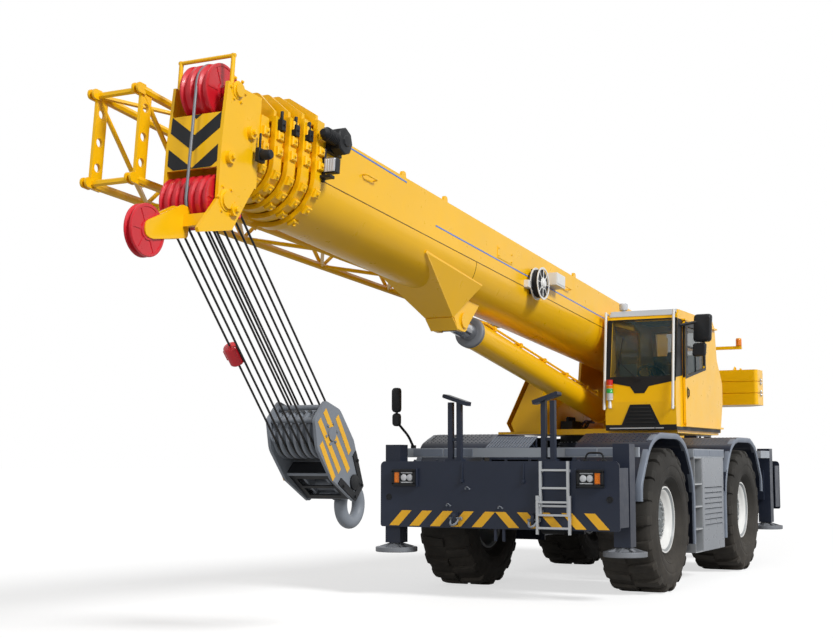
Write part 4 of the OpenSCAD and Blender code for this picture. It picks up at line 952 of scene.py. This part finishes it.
def slew_bolts():
    shape = Shape("carrier")
    shape.bolts([(x, y, 1.972) for x, y in polar(48, 0.735)], (0, 0, -1), 0.03, 0.02)
    shape.piece("slew_bolts", SILVER)


def winch_ropes():
    """Rope wound on both drums, turn beside turn, and the bolts of the drums' flanges."""
    for name, x, z, r in (("main", -2.38, 0.63, 0.17), ("second", -2.83, 0.72, 0.15)):
        rope, trim = shapes(2, "superstructure")
        rope.pipe(coil((x, -0.34, z), r + ROPE_D / 2 - 0.001, 0.68, 31, 20), ROPE_D, 6)
        rope.piece("rope_%s_drum" % name, ROPE, smooth=60)
        for s in SIDES:
            trim.bolts([(x + a, s * 0.381, z + b) for a, b in polar(10, r + 0.035)], (0, s, 0), 0.024, 0.014)
        trim.piece("winch_bolts_" + name, SILVER)


def tower_trim():
    """Keeper plates, clamped pipes behind the cab, valve block in front of the tower, and a beacon."""
    pins, pipes, clamps, block, lines, beacon = shapes(6, "superstructure")
    for s in SIDES:
        out = (0, s, 0)
        pins.lathe([(0.07, 0.0), (0.07, 0.006), (0.05, 0.012), (0.0, 0.013)], (-1.3, s * 0.51, 0.92), out, 28)
        pins.plate_y(rect(-1.39, -1.21, 0.885, 0.915), s * 0.5)
        pins.bolts([(x, s * 0.506, 0.9) for x in (-1.375, -1.225)], out, 0.026, 0.016)
    pins.piece("pivot_caps", SILVER)
    y = 0.495
    for k in range(3):
        z = 0.14 + k * 0.045
        top = 0.52 + k * 0.02
        pipes.bent([(-0.86, y, z), (-1.9, y, z), (-2.25, y, z + 0.3), (-2.25, y, top)], 0.1, 0.022)
    pipes.piece("oil_pipes", IRON)
    for x in (-1.0, -1.35, -1.7):
        clamps.box(x - 0.025, x + 0.025, 0.479, 0.512, 0.115, 0.255)
        clamps.bolts([(x, 0.512, z) for z in (0.162, 0.207)], Y, 0.018, 0.012)
    clamps.piece("pipe_clamps", BLACK, bevel=0.003)
    block.box(0.62, 0.98, -0.42, -0.24, 0.058, 0.2)
    for k in range(4):
        x, y, z = 0.67 + k * 0.085, -0.405 + k * 0.045, 0.085 + 0.025 * (k % 2)
        block.rod((x, -0.33, 0.198), (x, -0.33, 0.245), 0.05)
        block.bolts([(x, -0.33, 0.244)], Z, 0.036, 0.02)
        y2, z2 = y - 0.01, z + 0.12
        lines.bent([(0.64, y, z), (0.3, y, z), (0.1, y2, z2), (-0.2, y2, z2)], 0.08, 0.024)
    block.piece("valve_block", IRON, bevel=0.004)
    lines.piece("valve_lines", BLACK)
    beacon.lathe([(0.044, 1.432), (0.047, 1.44)] + ribbed(0.047, 1.448, 1.53, 10)
                 + [(0.04, 1.55), (0.02, 1.558), (0.0, 1.56)], (-1.69, 1.575, 0), Z, 28)
    beacon.piece("arm_beacon", AMBER)


def weight_trim():
    """Bolted straps over the joints of the counterweight's slabs, and lifting eyes."""
    straps, eyes = shapes(2, "superstructure")
    for z in (0.757, 0.954):
        for s in SIDES:
            y = s * 1.52
            straps.bolts([(-3.36, y, z + 0.03), (-3.36, y, z - 0.03)], (0, s, 0), 0.04, 0.025)
            straps.box(-3.385, -3.335, y - 0.006, y + 0.006, z - 0.055, z + 0.055)
    straps.piece("weight_bolts", SILVER)
    for y in (-1.1, 1.1):
        for x in (-3.35, -3.75):
            eyes.pipe(arc((x, y, 1.15), 0.06, 0, 180, 11), 0.024)
            for foot in (x - 0.06, x + 0.06):
                eyes.lathe([(0.028, -0.002), (0.028, 0.012), (0.016, 0.02)], (foot, y, 1.151), Z, 14)
    eyes.piece("weight_eyes", YELLOW)


def tank_trim():
    """Filler cap, bolted lid, and straps over the sloping outer sheet of the oil tank."""
    cap, lid, straps = shapes(3, "superstructure")
    top = 0.83
    cap.lathe([(0.06, -0.002), (0.06, 0.02), (0.05, 0.03), (0.05, 0.055), (0.04, 0.062), (0.0, 0.063)],
              (-0.3, -0.72, top), Z, 24)
    cap.bolts([(x, y, top) for y in (-0.58, -0.86) for x in span(0.05, 0.85, 7)], Z, 0.02, 0.012)
    cap.piece("tank_cap", IRON)
    lid.box(0.02, 0.88, -0.89, -0.55, 0.828, 0.836)
    lid.piece("tank_lid", YELLOW, bevel=0.003)
    for x in (-0.45, 0.75):
        x0, x1 = x - 0.03, x + 0.03
        straps.box(x0, x1, -1.2, -1.19, 0.04, 0.05)
        straps.loft([[(x0, y, z), (x1, y, z), (x1, y - 0.006, z + 0.006), (x0, y - 0.006, z + 0.006)]
                     for y, z in ((-0.5, 0.829), (-0.958, 0.829), (-1.274, 0.181), (-1.2, 0.045))])
    straps.piece("tank_straps", IRON)


slew_bolts()
winch_ropes()
tower_trim()
weight_trim()
tank_trim()


# Boom

BOOM_AXIS = BOOM_RISE - 0.04
REEL_AT = (5.45, 0.44, 0.42)
# Front edge of the first collar, the distance to the next, how much slimmer that is, and how far each
# stands out of its section.
COLLAR_U, COLLAR_PITCH, COLLAR_STEP, COLLAR_OUT = 10.74, 0.17, 0.038, 0.036
LIFT_END = 5.565


def boom_side(at, side):
    """Blue lines, painted shade along the seams, handles and a bolted cover on one side of the base section.
    """
    lines, seam_shade, plates = shapes(3, "boom", at)
    half = BOOM_HALF
    for u0, w0, u1, w1 in ((8.9, 0.772, 10.5, 0.79), (2.1, 0.47, 8.2, 0.487)):
        lines.prism_y([(u0, w0), (u1, w1), (u1, w1 + 0.016), (u0, w0 + 0.016)], half - 0.001, half + 0.002)
    lines.piece("boom_lines_" + side, BLUE)
    # Painted shade: brown lines along the seams, where the crease between the plates lies in shade.
    seam_shade.prism_y(rect(0.75, 10.58, 0.332, 0.340), half - 0.001, half + 0.003)
    bead = rect(7.12, 7.128, half - 0.001, half + 0.003)
    seam_shade.loft([[(u, r * cos(a), BOOM_AXIS + r * sin(a)) for u, r in bead]
               for a in map(radians, span(0, -84, 15))])
    seam_shade.piece("boom_seam_shade_" + side, SEAM_SHADE)
    for u in (1.6, 4.2, 9.6):
        plates.bent([(u, half - 0.002, 0.6), (u, half + 0.05, 0.6), (u + 0.22, half + 0.05, 0.6),
                     (u + 0.22, half - 0.002, 0.6)], 0.03, 0.016)
    plates.box(6.1, 6.55, half - 0.001, half + 0.006, 0.52, 0.66)
    plates.bolts([(u, half + 0.006, w) for u in (6.13, 6.52) for w in (0.545, 0.635)], Y, 0.016, 0.01)
    plates.piece("boom_handles_" + side, YELLOW)


def boom_trim():
    for at, side in both_sides(BOOM):
        boom_side(at, side)
    # Rope guide rollers on the boom's top.
    rollers = Shape("boom")
    for u in (0.3, 4.0, 7.4):
        rollers.lathe([(0.02, -0.2), (0.03, -0.198), (0.03, 0.198), (0.02, 0.2)], (u, 0, 0.875), Y, 18)
        for y in (-0.22, 0.22):
            rollers.plate_y([(u - 0.06, 0.823), (u + 0.06, 0.823), (u + 0.025, 0.9), (u - 0.025, 0.9)], y)
    rollers.piece("rope_rollers", IRON)
    # Plate that closes the lift cylinder's upper eye in front, between its cheeks.
    plate = Shape("boom")
    plate.plate_y([(7.2, -0.306), (7.04, -0.424), (7.052, -0.432), (7.213, -0.314)], 0, 0.173)
    plate.piece("eye_plate", YELLOW, bevel=0.002)


def boom_reel():
    """Cable reel with its white box on the boom's left side."""
    reel, cable = shapes(2, "boom")
    x, y, z = REEL_AT
    for t0, t1 in ((0.02, 0.03), (0.112, 0.122)):
        for r0, r1 in ((0.05, 0.075), (0.178, 0.203)):
            reel.hoop(REEL_AT, rect(r0, r1, t0, t1), 40)
        middle = y + (t0 + t1) / 2
        for c, s in polar(8):
            reel.rod((x + 0.07 * c, middle, z + 0.07 * s), (x + 0.185 * c, middle, z + 0.185 * s), 0.011)
    reel.lathe([(0.052, 0.1), (0.052, 0.135), (0.04, 0.145), (0.0, 0.146)], REEL_AT, Y, 28)
    reel.box(4.7, 5.0, 0.41, 0.56, 0.5, 0.66)
    reel.box(4.72, 4.98, 0.56, 0.566, 0.52, 0.64)
    reel.box(5.6, 5.72, 0.409, 0.47, 0.33, 0.42)
    reel.piece("cable_reel", WHITE, bevel=0.004)
    cable.pipe(coil((x, y + 0.035, z), 0.172, 0.072, 6, 24), 0.014)
    cable.lathe([(0.165, 0.031), (0.165, 0.111)], REEL_AT, Y, 40)
    cable.prism_y([(5.36, 0.28), (5.54, 0.28), (5.5, 0.6), (5.4, 0.6)], 0.408, 0.462)
    cable.piece("reel_cable", BLACK)


def boom_front():
    """Drum and work light at the front end of the base section."""
    drum, light, pane = shapes(3, "boom")
    drum.lathe([(0.12, 0.0), (0.132, 0.008), (0.132, 0.1), (0.12, 0.112), (0.06, 0.118), (0.05, 0.13),
                (0.0, 0.132)], (10.42, 0.45, 0.74), Y, 8)
    drum.prism_y([(10.3, 0.62), (10.54, 0.62), (10.5, 0.8), (10.34, 0.8)], 0.408, 0.455)
    for k in range(7):
        drum.lathe([(0.055, 0.0), (0.064, 0.006), (0.064, 0.016), (0.055, 0.022)],
                   (10.53 + k * 0.026, 0.515, 0.73), X, 20)
    drum.lathe([(0.052, 0.0), (0.052, 0.2), (0.03, 0.24), (0.0, 0.242)], (10.52, 0.515, 0.73), X, 20)
    drum.piece("front_drum", BLACK)
    light.box(10.6, 10.63, 0.445, 0.475, 0.3, 0.62)
    light.box(10.58, 10.66, 0.44, 0.56, 0.33, 0.36)
    light.box(10.56, 10.64, 0.475, 0.6, 0.38, 0.52)
    light.piece("work_light", BLACK, bevel=0.006)
    pane.box(10.638, 10.65, 0.483, 0.592, 0.388, 0.512)
    for y in span(0.5, 0.575, 4):
        pane.box(10.648, 10.654, y - 0.004, y + 0.004, 0.395, 0.505)
    pane.piece("work_light_pane", LENS, bevel=0.002)


def collar(n):
    """Body, half width and front edge of a section's collar."""
    body = "section_%d" % (n + 1) if n else "boom"
    return body, BOOM_HALF - n * COLLAR_STEP + COLLAR_OUT, COLLAR_U + n * COLLAR_PITCH


def collar_pads(n):
    """Adjusting pads with screws round a section's collar."""
    body, half, edge = collar(n)
    u = edge - 0.066
    pads, screws = shapes(2, body, BOOM)
    # The slim sections have no room for the topmost pads.
    heights = (0.1, 0.24, 0.38) if n < 3 else (0.1, 0.24)
    spots = [(s * half, w, s, 0) for s in SIDES for w in heights]
    for a in map(radians, (200, 222, 244, 296, 318, 340)):
        c, t = cos(a), sin(a)
        spots.append((half * c, half * t, c, t))
    for y, w, c, t in spots:
        w += BOOM_AXIS
        pads.loft([[(u + a * grow, y + out * c - b * grow * t, w + out * t + b * grow * c)
                    for a, b in rect(-0.042, 0.042, -0.04, 0.04)]
                   for out, grow in ((-0.006, 1.0), (0.022, 1.0), (0.03, 0.8))])
        screws.bolts([(u, y + 0.03 * c, w + 0.03 * t)], (0, c, t), 0.024, 0.016)
    pads.piece("collar_pads_%d" % (n + 1), YELLOW)
    screws.piece("collar_screws_%d" % (n + 1), YELLOW)


def collar_sensor(n):
    body, half, edge = collar(n)
    u = edge - 0.06
    sensor = Shape(body, BOOM)
    sensor.box(u - 0.03, u + 0.03, half - 0.02, half + 0.05, 0.62, 0.72)
    sensor.rod((u, half + 0.02, 0.72), (u, half + 0.02, 0.8), 0.03)
    sensor.bolts([(u, half + 0.05, 0.67)], Y, 0.02, 0.012)
    sensor.box(u - 0.04, u + 0.04, -half - 0.03, -half + 0.02, 0.6, 0.66)
    sensor.piece("collar_sensor_%d" % (n + 1), BLACK, bevel=0.004)


def lift_trim():
    """Gland ring, pipes and clamps on the lift cylinder."""
    gland, pipes, clamps = shapes(3, "lift_cylinder_barrel")
    gland.lathe([(0.18, -0.052), (0.1845, -0.05), (0.1845, -0.004), (0.178, 0.004), (0.15, 0.012),
                 (0.113, 0.014)], (LIFT_END, 0, 0), X, 48)
    gland.piece("lift_gland", PAD_STEEL, "bright_steel")
    for y in (-0.05, 0.05):
        pipes.bent([(1.1, y, 0.23), (1.3, y, 0.2), (LIFT_END - 0.3, y, 0.2), (LIFT_END - 0.2, y, 0.17)],
                   (0.06, 0.05), 0.03)
    pipes.piece("lift_pipes", YELLOW)
    for x in span(1.6, LIFT_END - 0.6, 5):
        clamps.box(x - 0.025, x + 0.025, -0.08, 0.08, 0.16, 0.218)
        clamps.bolts([(x, 0, 0.218)], Z, 0.02, 0.012)
    clamps.piece("lift_clamps", YELLOW, bevel=0.004)


# Boom head

TOP_PIN, LOW_PIN = (0.36, 0.43), (0.425, -0.551)
CHEEK_Y, BOSS_Y = 0.2845, 0.3245
# Sheave stacks: centre, radius and half width.
STACKS = (((1.095, -0.95), 0.215, 0.034), (TOP_PIN, 0.25, 0.135), (LOW_PIN, 0.225, 0.234))


def head_front(z):
    """The front of the warning plate at a height over the boom's axis."""
    return 0.525 + 0.02 * min(1.0, (0.194 - z) / 0.304)


def head_chevrons():
    """Black arrows on the yellow warning plate, split where the plate is folded."""
    chevrons = Shape("section_5")
    for apex in (0.155, -0.135, -0.425):
        for s in SIDES:
            arm = [(0.0, apex), (s * 0.252, apex + 0.185), (s * 0.252, apex + 0.33), (0.0, apex + 0.145)]
            for low, high in ((-0.285, -0.11), (-0.11, 0.192)):
                part = clipped(arm, low, high)
                if len(part) > 2:
                    chevrons.loft([[(head_front(z) + d, y, z) for y, z in part] for d in (-0.001, 0.003)])
    chevrons.piece("head_chevrons", BLACK)


def head_bolts():
    """Pin covers and bolts on the cheeks of the boom head."""
    bolts = Shape("section_5")
    for s in SIDES:
        out = (0, s, 0)
        for (u, c), d in ((LOW_PIN, 0.075), (TOP_PIN, 0.06)):
            bolts.lathe([(d + 0.02, 0.0), (d + 0.02, 0.008), (d, 0.014), (d, 0.03), (0.0, 0.032)],
                        (u, s * CHEEK_Y, c), out, 24)
            bolts.bolts([(u + a, s * CHEEK_Y, c + b) for a, b in polar(6, d + 0.045)], out, 0.022, 0.014)
        bolts.bolts([(u, s * BOSS_Y, c) for u, c in ((0.14, 0.12), (0.33, -0.61), (0.43, -0.18))],
                    out, 0.045, 0.026)
    bolts.piece("head_bolts", YELLOW)


def sheave_relief():
    """Rims, hubs and spokes on the outer faces of the sheaves."""
    relief = Shape("section_5")
    for (u, c), r, y in STACKS:
        for s in SIDES:
            for r0, r1, h in ((r - 0.03, r - 0.002, 0.006), (0.055, 0.085, 0.01)):
                foot, top = s * (y - 0.001), s * (y + h)
                relief.hoop((u, 0, c), [(r0, foot), (r1, foot), (r1 - 0.004, top), (r0 + 0.004, top)], 48)
            lift = Vector((0, s * 0.005, 0))
            for ca, sa in polar(6):
                inner, outer = (Vector((u + d * ca, s * y, c + d * sa)) for d in (0.08, r - 0.028))
                side = Vector((-sa, 0, ca)) * 0.011
                corners = (inner - side, inner + side, outer + side, outer - side)
                relief.loft([[p - 0.2 * lift for p in corners], [p + lift for p in corners]])
    relief.piece("sheave_relief", RED)


def head_trim():
    """Guard bar, the rope from the top sheave to the lower ones, and a sensor on the left cheek."""
    bar, rope, sensor = shapes(3, "section_5")
    bar.lathe([(0.025, -0.27), (0.032, -0.265), (0.032, 0.265), (0.025, 0.27)], (0.2, 0, -0.62), Y, 18)
    bar.piece("head_bar", RED)
    rope.pipe(arc((TOP_PIN[0], 0.03, TOP_PIN[1]), 0.243, 120, 5, 12)
              + arc((LOW_PIN[0], 0.04, LOW_PIN[1]), 0.222, 8, -100, 12), 0.026)
    rope.piece("head_rope", PAD_STEEL, "rope_steel", smooth=60)
    sensor.box(0.0, 0.1, 0.32, 0.36, -0.12, 0.0)
    sensor.lathe([(0.03, 0.0), (0.045, 0.006), (0.045, 0.08), (0.036, 0.1), (0.0, 0.102)],
                 (0.05, 0.355, -0.06), Y, 20)
    sensor.rod((0.05, 0.33, 0.0), (0.05, 0.33, 0.14), 0.022)
    sensor.piece("head_sensor", BLACK, bevel=0.004)


boom_trim()
boom_reel()
boom_front()
for section in range(5):
    collar_pads(section)
for section in (1, 2, 3):
    collar_sensor(section)
lift_trim()
head_chevrons()
head_bolts()
sheave_relief()
head_trim()


# Hook block

SHEAVE_N, SHEAVE_PITCH, SHEAVE_R = 6, 0.078, 0.2123
HOOK_ROPE_D = 0.02


def apron_point(s, x, y, d):
    """A point a distance off the sloping lower plate of the block, on its front or its back."""
    return (x + 0.26 * d, y, s * (0.21 - 0.26 * (x - 0.32) + 0.97 * d))


def hook_sides():
    """Diagonal stripes, dark lower frame, bolts and mesh plates of the hook block."""
    stripes, lower, bolts, apron = shapes(4, "hook")
    for s in SIDES:
        out = (0, s, 0)
        for x0, x1, z in ((-0.05, 0.36, -0.215), (-0.24, 0.47, -0.085), (-0.24, 0.36, 0.045),
                          (-0.06, 0.34, 0.165)):
            stripes.prism_y([(x0, z), (x1, z + 0.05), (x1, z + 0.115), (x0, z + 0.065)],
                            s * 0.2675 - 0.0015, s * 0.2675 + 0.0025)
        lower.prism_y([(0.42, -0.225), (0.46, -0.215), (0.77, -0.105), (0.77, 0.105), (0.46, 0.215),
                       (0.42, 0.225), (0.42, 0.15), (0.7, 0.06), (0.7, -0.06), (0.42, -0.15)],
                      s * 0.2665, s * 0.279)
        lower.bolts([(x, s * 0.279, z) for x, z in ((0.5, 0.175), (0.5, -0.175), (0.73, 0.08),
                                                    (0.73, -0.08))], out, 0.026, 0.016)
        lower.lathe([(0.075, 0.0), (0.075, 0.02), (0.05, 0.03), (0.0, 0.031)], (0.62, s * 0.2665, 0), out, 24)
        bolts.bolts([(a, s * 0.267, b) for a, b in polar(6, 0.1)], out, 0.024, 0.014)
        for x0, x1, y0, y1 in ((0.322, 0.72, -0.236, -0.175), (0.322, 0.72, 0.175, 0.236),
                               (0.322, 0.38, -0.18, 0.18), (0.5, 0.54, -0.18, 0.18),
                               (0.66, 0.72, -0.18, 0.18)):
            apron.loft([[apron_point(s, x, y, d) for x, y in rect(x0, x1, y0, y1)] for d in (0.0, 0.014)])
        apron.box(0.284, 0.292, -0.236, 0.236, s * 0.15 - 0.075, s * 0.15 + 0.075)
    stripes.piece("hook_stripes", STRIPE)
    lower.piece("hook_frame", BLACK, bevel=0.003)
    bolts.piece("hook_bolts", CAST)
    apron.piece("hook_apron", BLACK, bevel=0.002)


def hook_trim():
    """Rope on the lower half of each sheave, the hoist-limit weight on the outermost fall, and the latch."""
    ropes, weight = Shape("hook"), Shape("hook", FALLS)
    outermost = (1 - SHEAVE_N) / 2 * SHEAVE_PITCH
    for k in range(SHEAVE_N):
        ropes.pipe(arc((0, outermost + k * SHEAVE_PITCH, 0), SHEAVE_R, 90, -90, 25), HOOK_ROPE_D, 10)
    ropes.piece("hook_ropes", ROPE, smooth=60)
    top, low = Vector((0, outermost, 0.2073)), Vector((FALL_L, outermost, SHEAVE_R))
    spot = top.lerp(low, 0.56)
    weight.lathe([(0.03, -0.1), (0.06, -0.095), (0.068, -0.085), (0.068, 0.085), (0.06, 0.095), (0.03, 0.1)],
                 spot, low - top, 24)
    weight.box(spot.x - 0.05, spot.x + 0.05, spot.y - 0.085, spot.y - 0.055, spot.z - 0.02, spot.z + 0.02)
    weight.piece("limit_weight", RED)
    latch = Shape("hook", BLOCK @ move(0.68, 0, 0) @ turn(20, "Y"))
    latch.prism_y([(0.25, -0.07), (0.28, -0.1), (0.43, -0.26), (0.4, -0.27), (0.26, -0.12)], -0.03, 0.03)
    latch.rod((0.255, -0.06, -0.085), (0.255, 0.06, -0.085), 0.024)
    latch.lathe([(0.075, 0.1), (0.082, 0.105), (0.082, 0.15), (0.075, 0.155)], (0, 0, 0), X, 6)
    latch.piece("hook_latch", IRON)


hook_sides()
hook_trim()


# Outriggers

JACK_X, JACK_Y = {"l": 3.795, "r": 4.145}, 1.465


def float_trim(corner):
    """Ribs and a raised rim on an outrigger's float."""
    x = JACK_X[corner[1]] * (1 if corner[0] == "f" else -1)
    y = JACK_Y * (1 if corner[1] == "l" else -1)
    shape = Shape("jack_" + corner, move(x, y, 0))
    rib = ((0.06, 0.6), (0.235, 0.6), (0.235, 0.612), (0.07, 0.66))
    for k in range(8):
        around = turn(45 * k, "Z")
        shape.loft([[around @ Vector((r, d, z)) for r, z in rib] for d in (-0.006, 0.006)])
    shape.lathe([(0.262, 0.547), (0.268, 0.552), (0.268, 0.6), (0.262, 0.607), (0.24, 0.609)],
                (0, 0, 0), Z, 48)
    shape.piece("float_ribs_" + corner, PAD_STEEL)


for corner in CORNERS:
    float_trim(corner)


# Stage, light and camera

AMBIENT = 0.21
FLOOR_FILL = 0.64
FLOOR_TONE, FLOOR_SIZE = 0.44, 400
GLOSS = {"world": 1.0, "floor": 0.2}
WHITE_LIGHT = (1, 1, 1, 1)
# Name, direction, spread in degrees and strength of each lamp, and whether glossy surfaces mirror it.
LAMPS = (("key", (-7, -24, -18), 17, 3.15, True), ("fill", (-24, -2, -6.5), 20, 0.9, False))


def seen_directly(tree, gloss):
    """1 for rays from the camera and through glass, `gloss` for rays from glossy surfaces, else 0."""
    path = tree.nodes.new("ShaderNodeLightPath").outputs
    out = combine(tree, "MULTIPLY", path["Is Glossy Ray"], gloss)
    for ray in ("Is Camera Ray", "Is Transmission Ray"):
        out = combine(tree, "MAXIMUM", out, path[ray])
    return out


def stage():
    mat, tree, bsdf = new_material("floor")
    put(bsdf, Base_Color=(FLOOR_TONE, FLOOR_TONE, FLOOR_TONE, 1), Roughness=0.9, Specular_IOR_Level=0.0,
        Emission_Color=WHITE_LIGHT)
    fill = combine(tree, "MULTIPLY", seen_directly(tree, GLOSS["floor"]), FLOOR_FILL)
    tree.links.new(fill, bsdf.inputs["Emission Strength"])
    bpy.ops.mesh.primitive_plane_add(size=FLOOR_SIZE)
    floor = bpy.context.object
    floor.name = "floor"
    floor.data.materials.append(mat)


def lamp(name, towards, spread, strength, glossy):
    """A far, wide lamp, so that the boom is lit alike at every reach."""
    data = bpy.data.lights.new(name, "SUN")
    data.angle = radians(spread)
    data.energy = strength
    obj = bpy.data.objects.new(name, data)
    obj.rotation_euler = Vector(towards).to_track_quat("-Z", "Y").to_euler()
    obj.visible_glossy = glossy
    bpy.context.collection.objects.link(obj)


def lights():
    world = bpy.data.worlds.new("studio")
    bpy.context.scene.world = world
    world.use_nodes = True
    tree = world.node_tree
    background = tree.nodes["Background"]
    put(background, Color=WHITE_LIGHT)
    strength = combine(tree, "MULTIPLY_ADD", seen_directly(tree, GLOSS["world"]), 1 - AMBIENT, AMBIENT)
    tree.links.new(strength, background.inputs["Strength"])
    for row in LAMPS:
        lamp(*row)


def camera():
    data = bpy.data.cameras.new("camera")
    data.sensor_width = SENSOR_W
    data.lens = FOCAL_PX / IMAGE_W * SENSOR_W
    data.shift_x = (IMAGE_W / 2 - CENTRE_PX[0]) / IMAGE_W
    data.shift_y = (CENTRE_PX[1] - IMAGE_H / 2) / IMAGE_W
    data.clip_end = 1000
    obj = bpy.data.objects.new("camera", data)
    level = cos(CAMERA_PITCH)
    ahead = Vector((-cos(CAMERA_YAW) * level, -sin(CAMERA_YAW) * level, sin(CAMERA_PITCH)))
    obj.location = CAMERA_AT
    obj.rotation_euler = ahead.to_track_quat("-Z", "Y").to_euler()
    bpy.context.collection.objects.link(obj)
    bpy.context.scene.camera = obj


stage()
lights()
camera()
bpy.context.scene.view_settings.view_transform = "Standard"
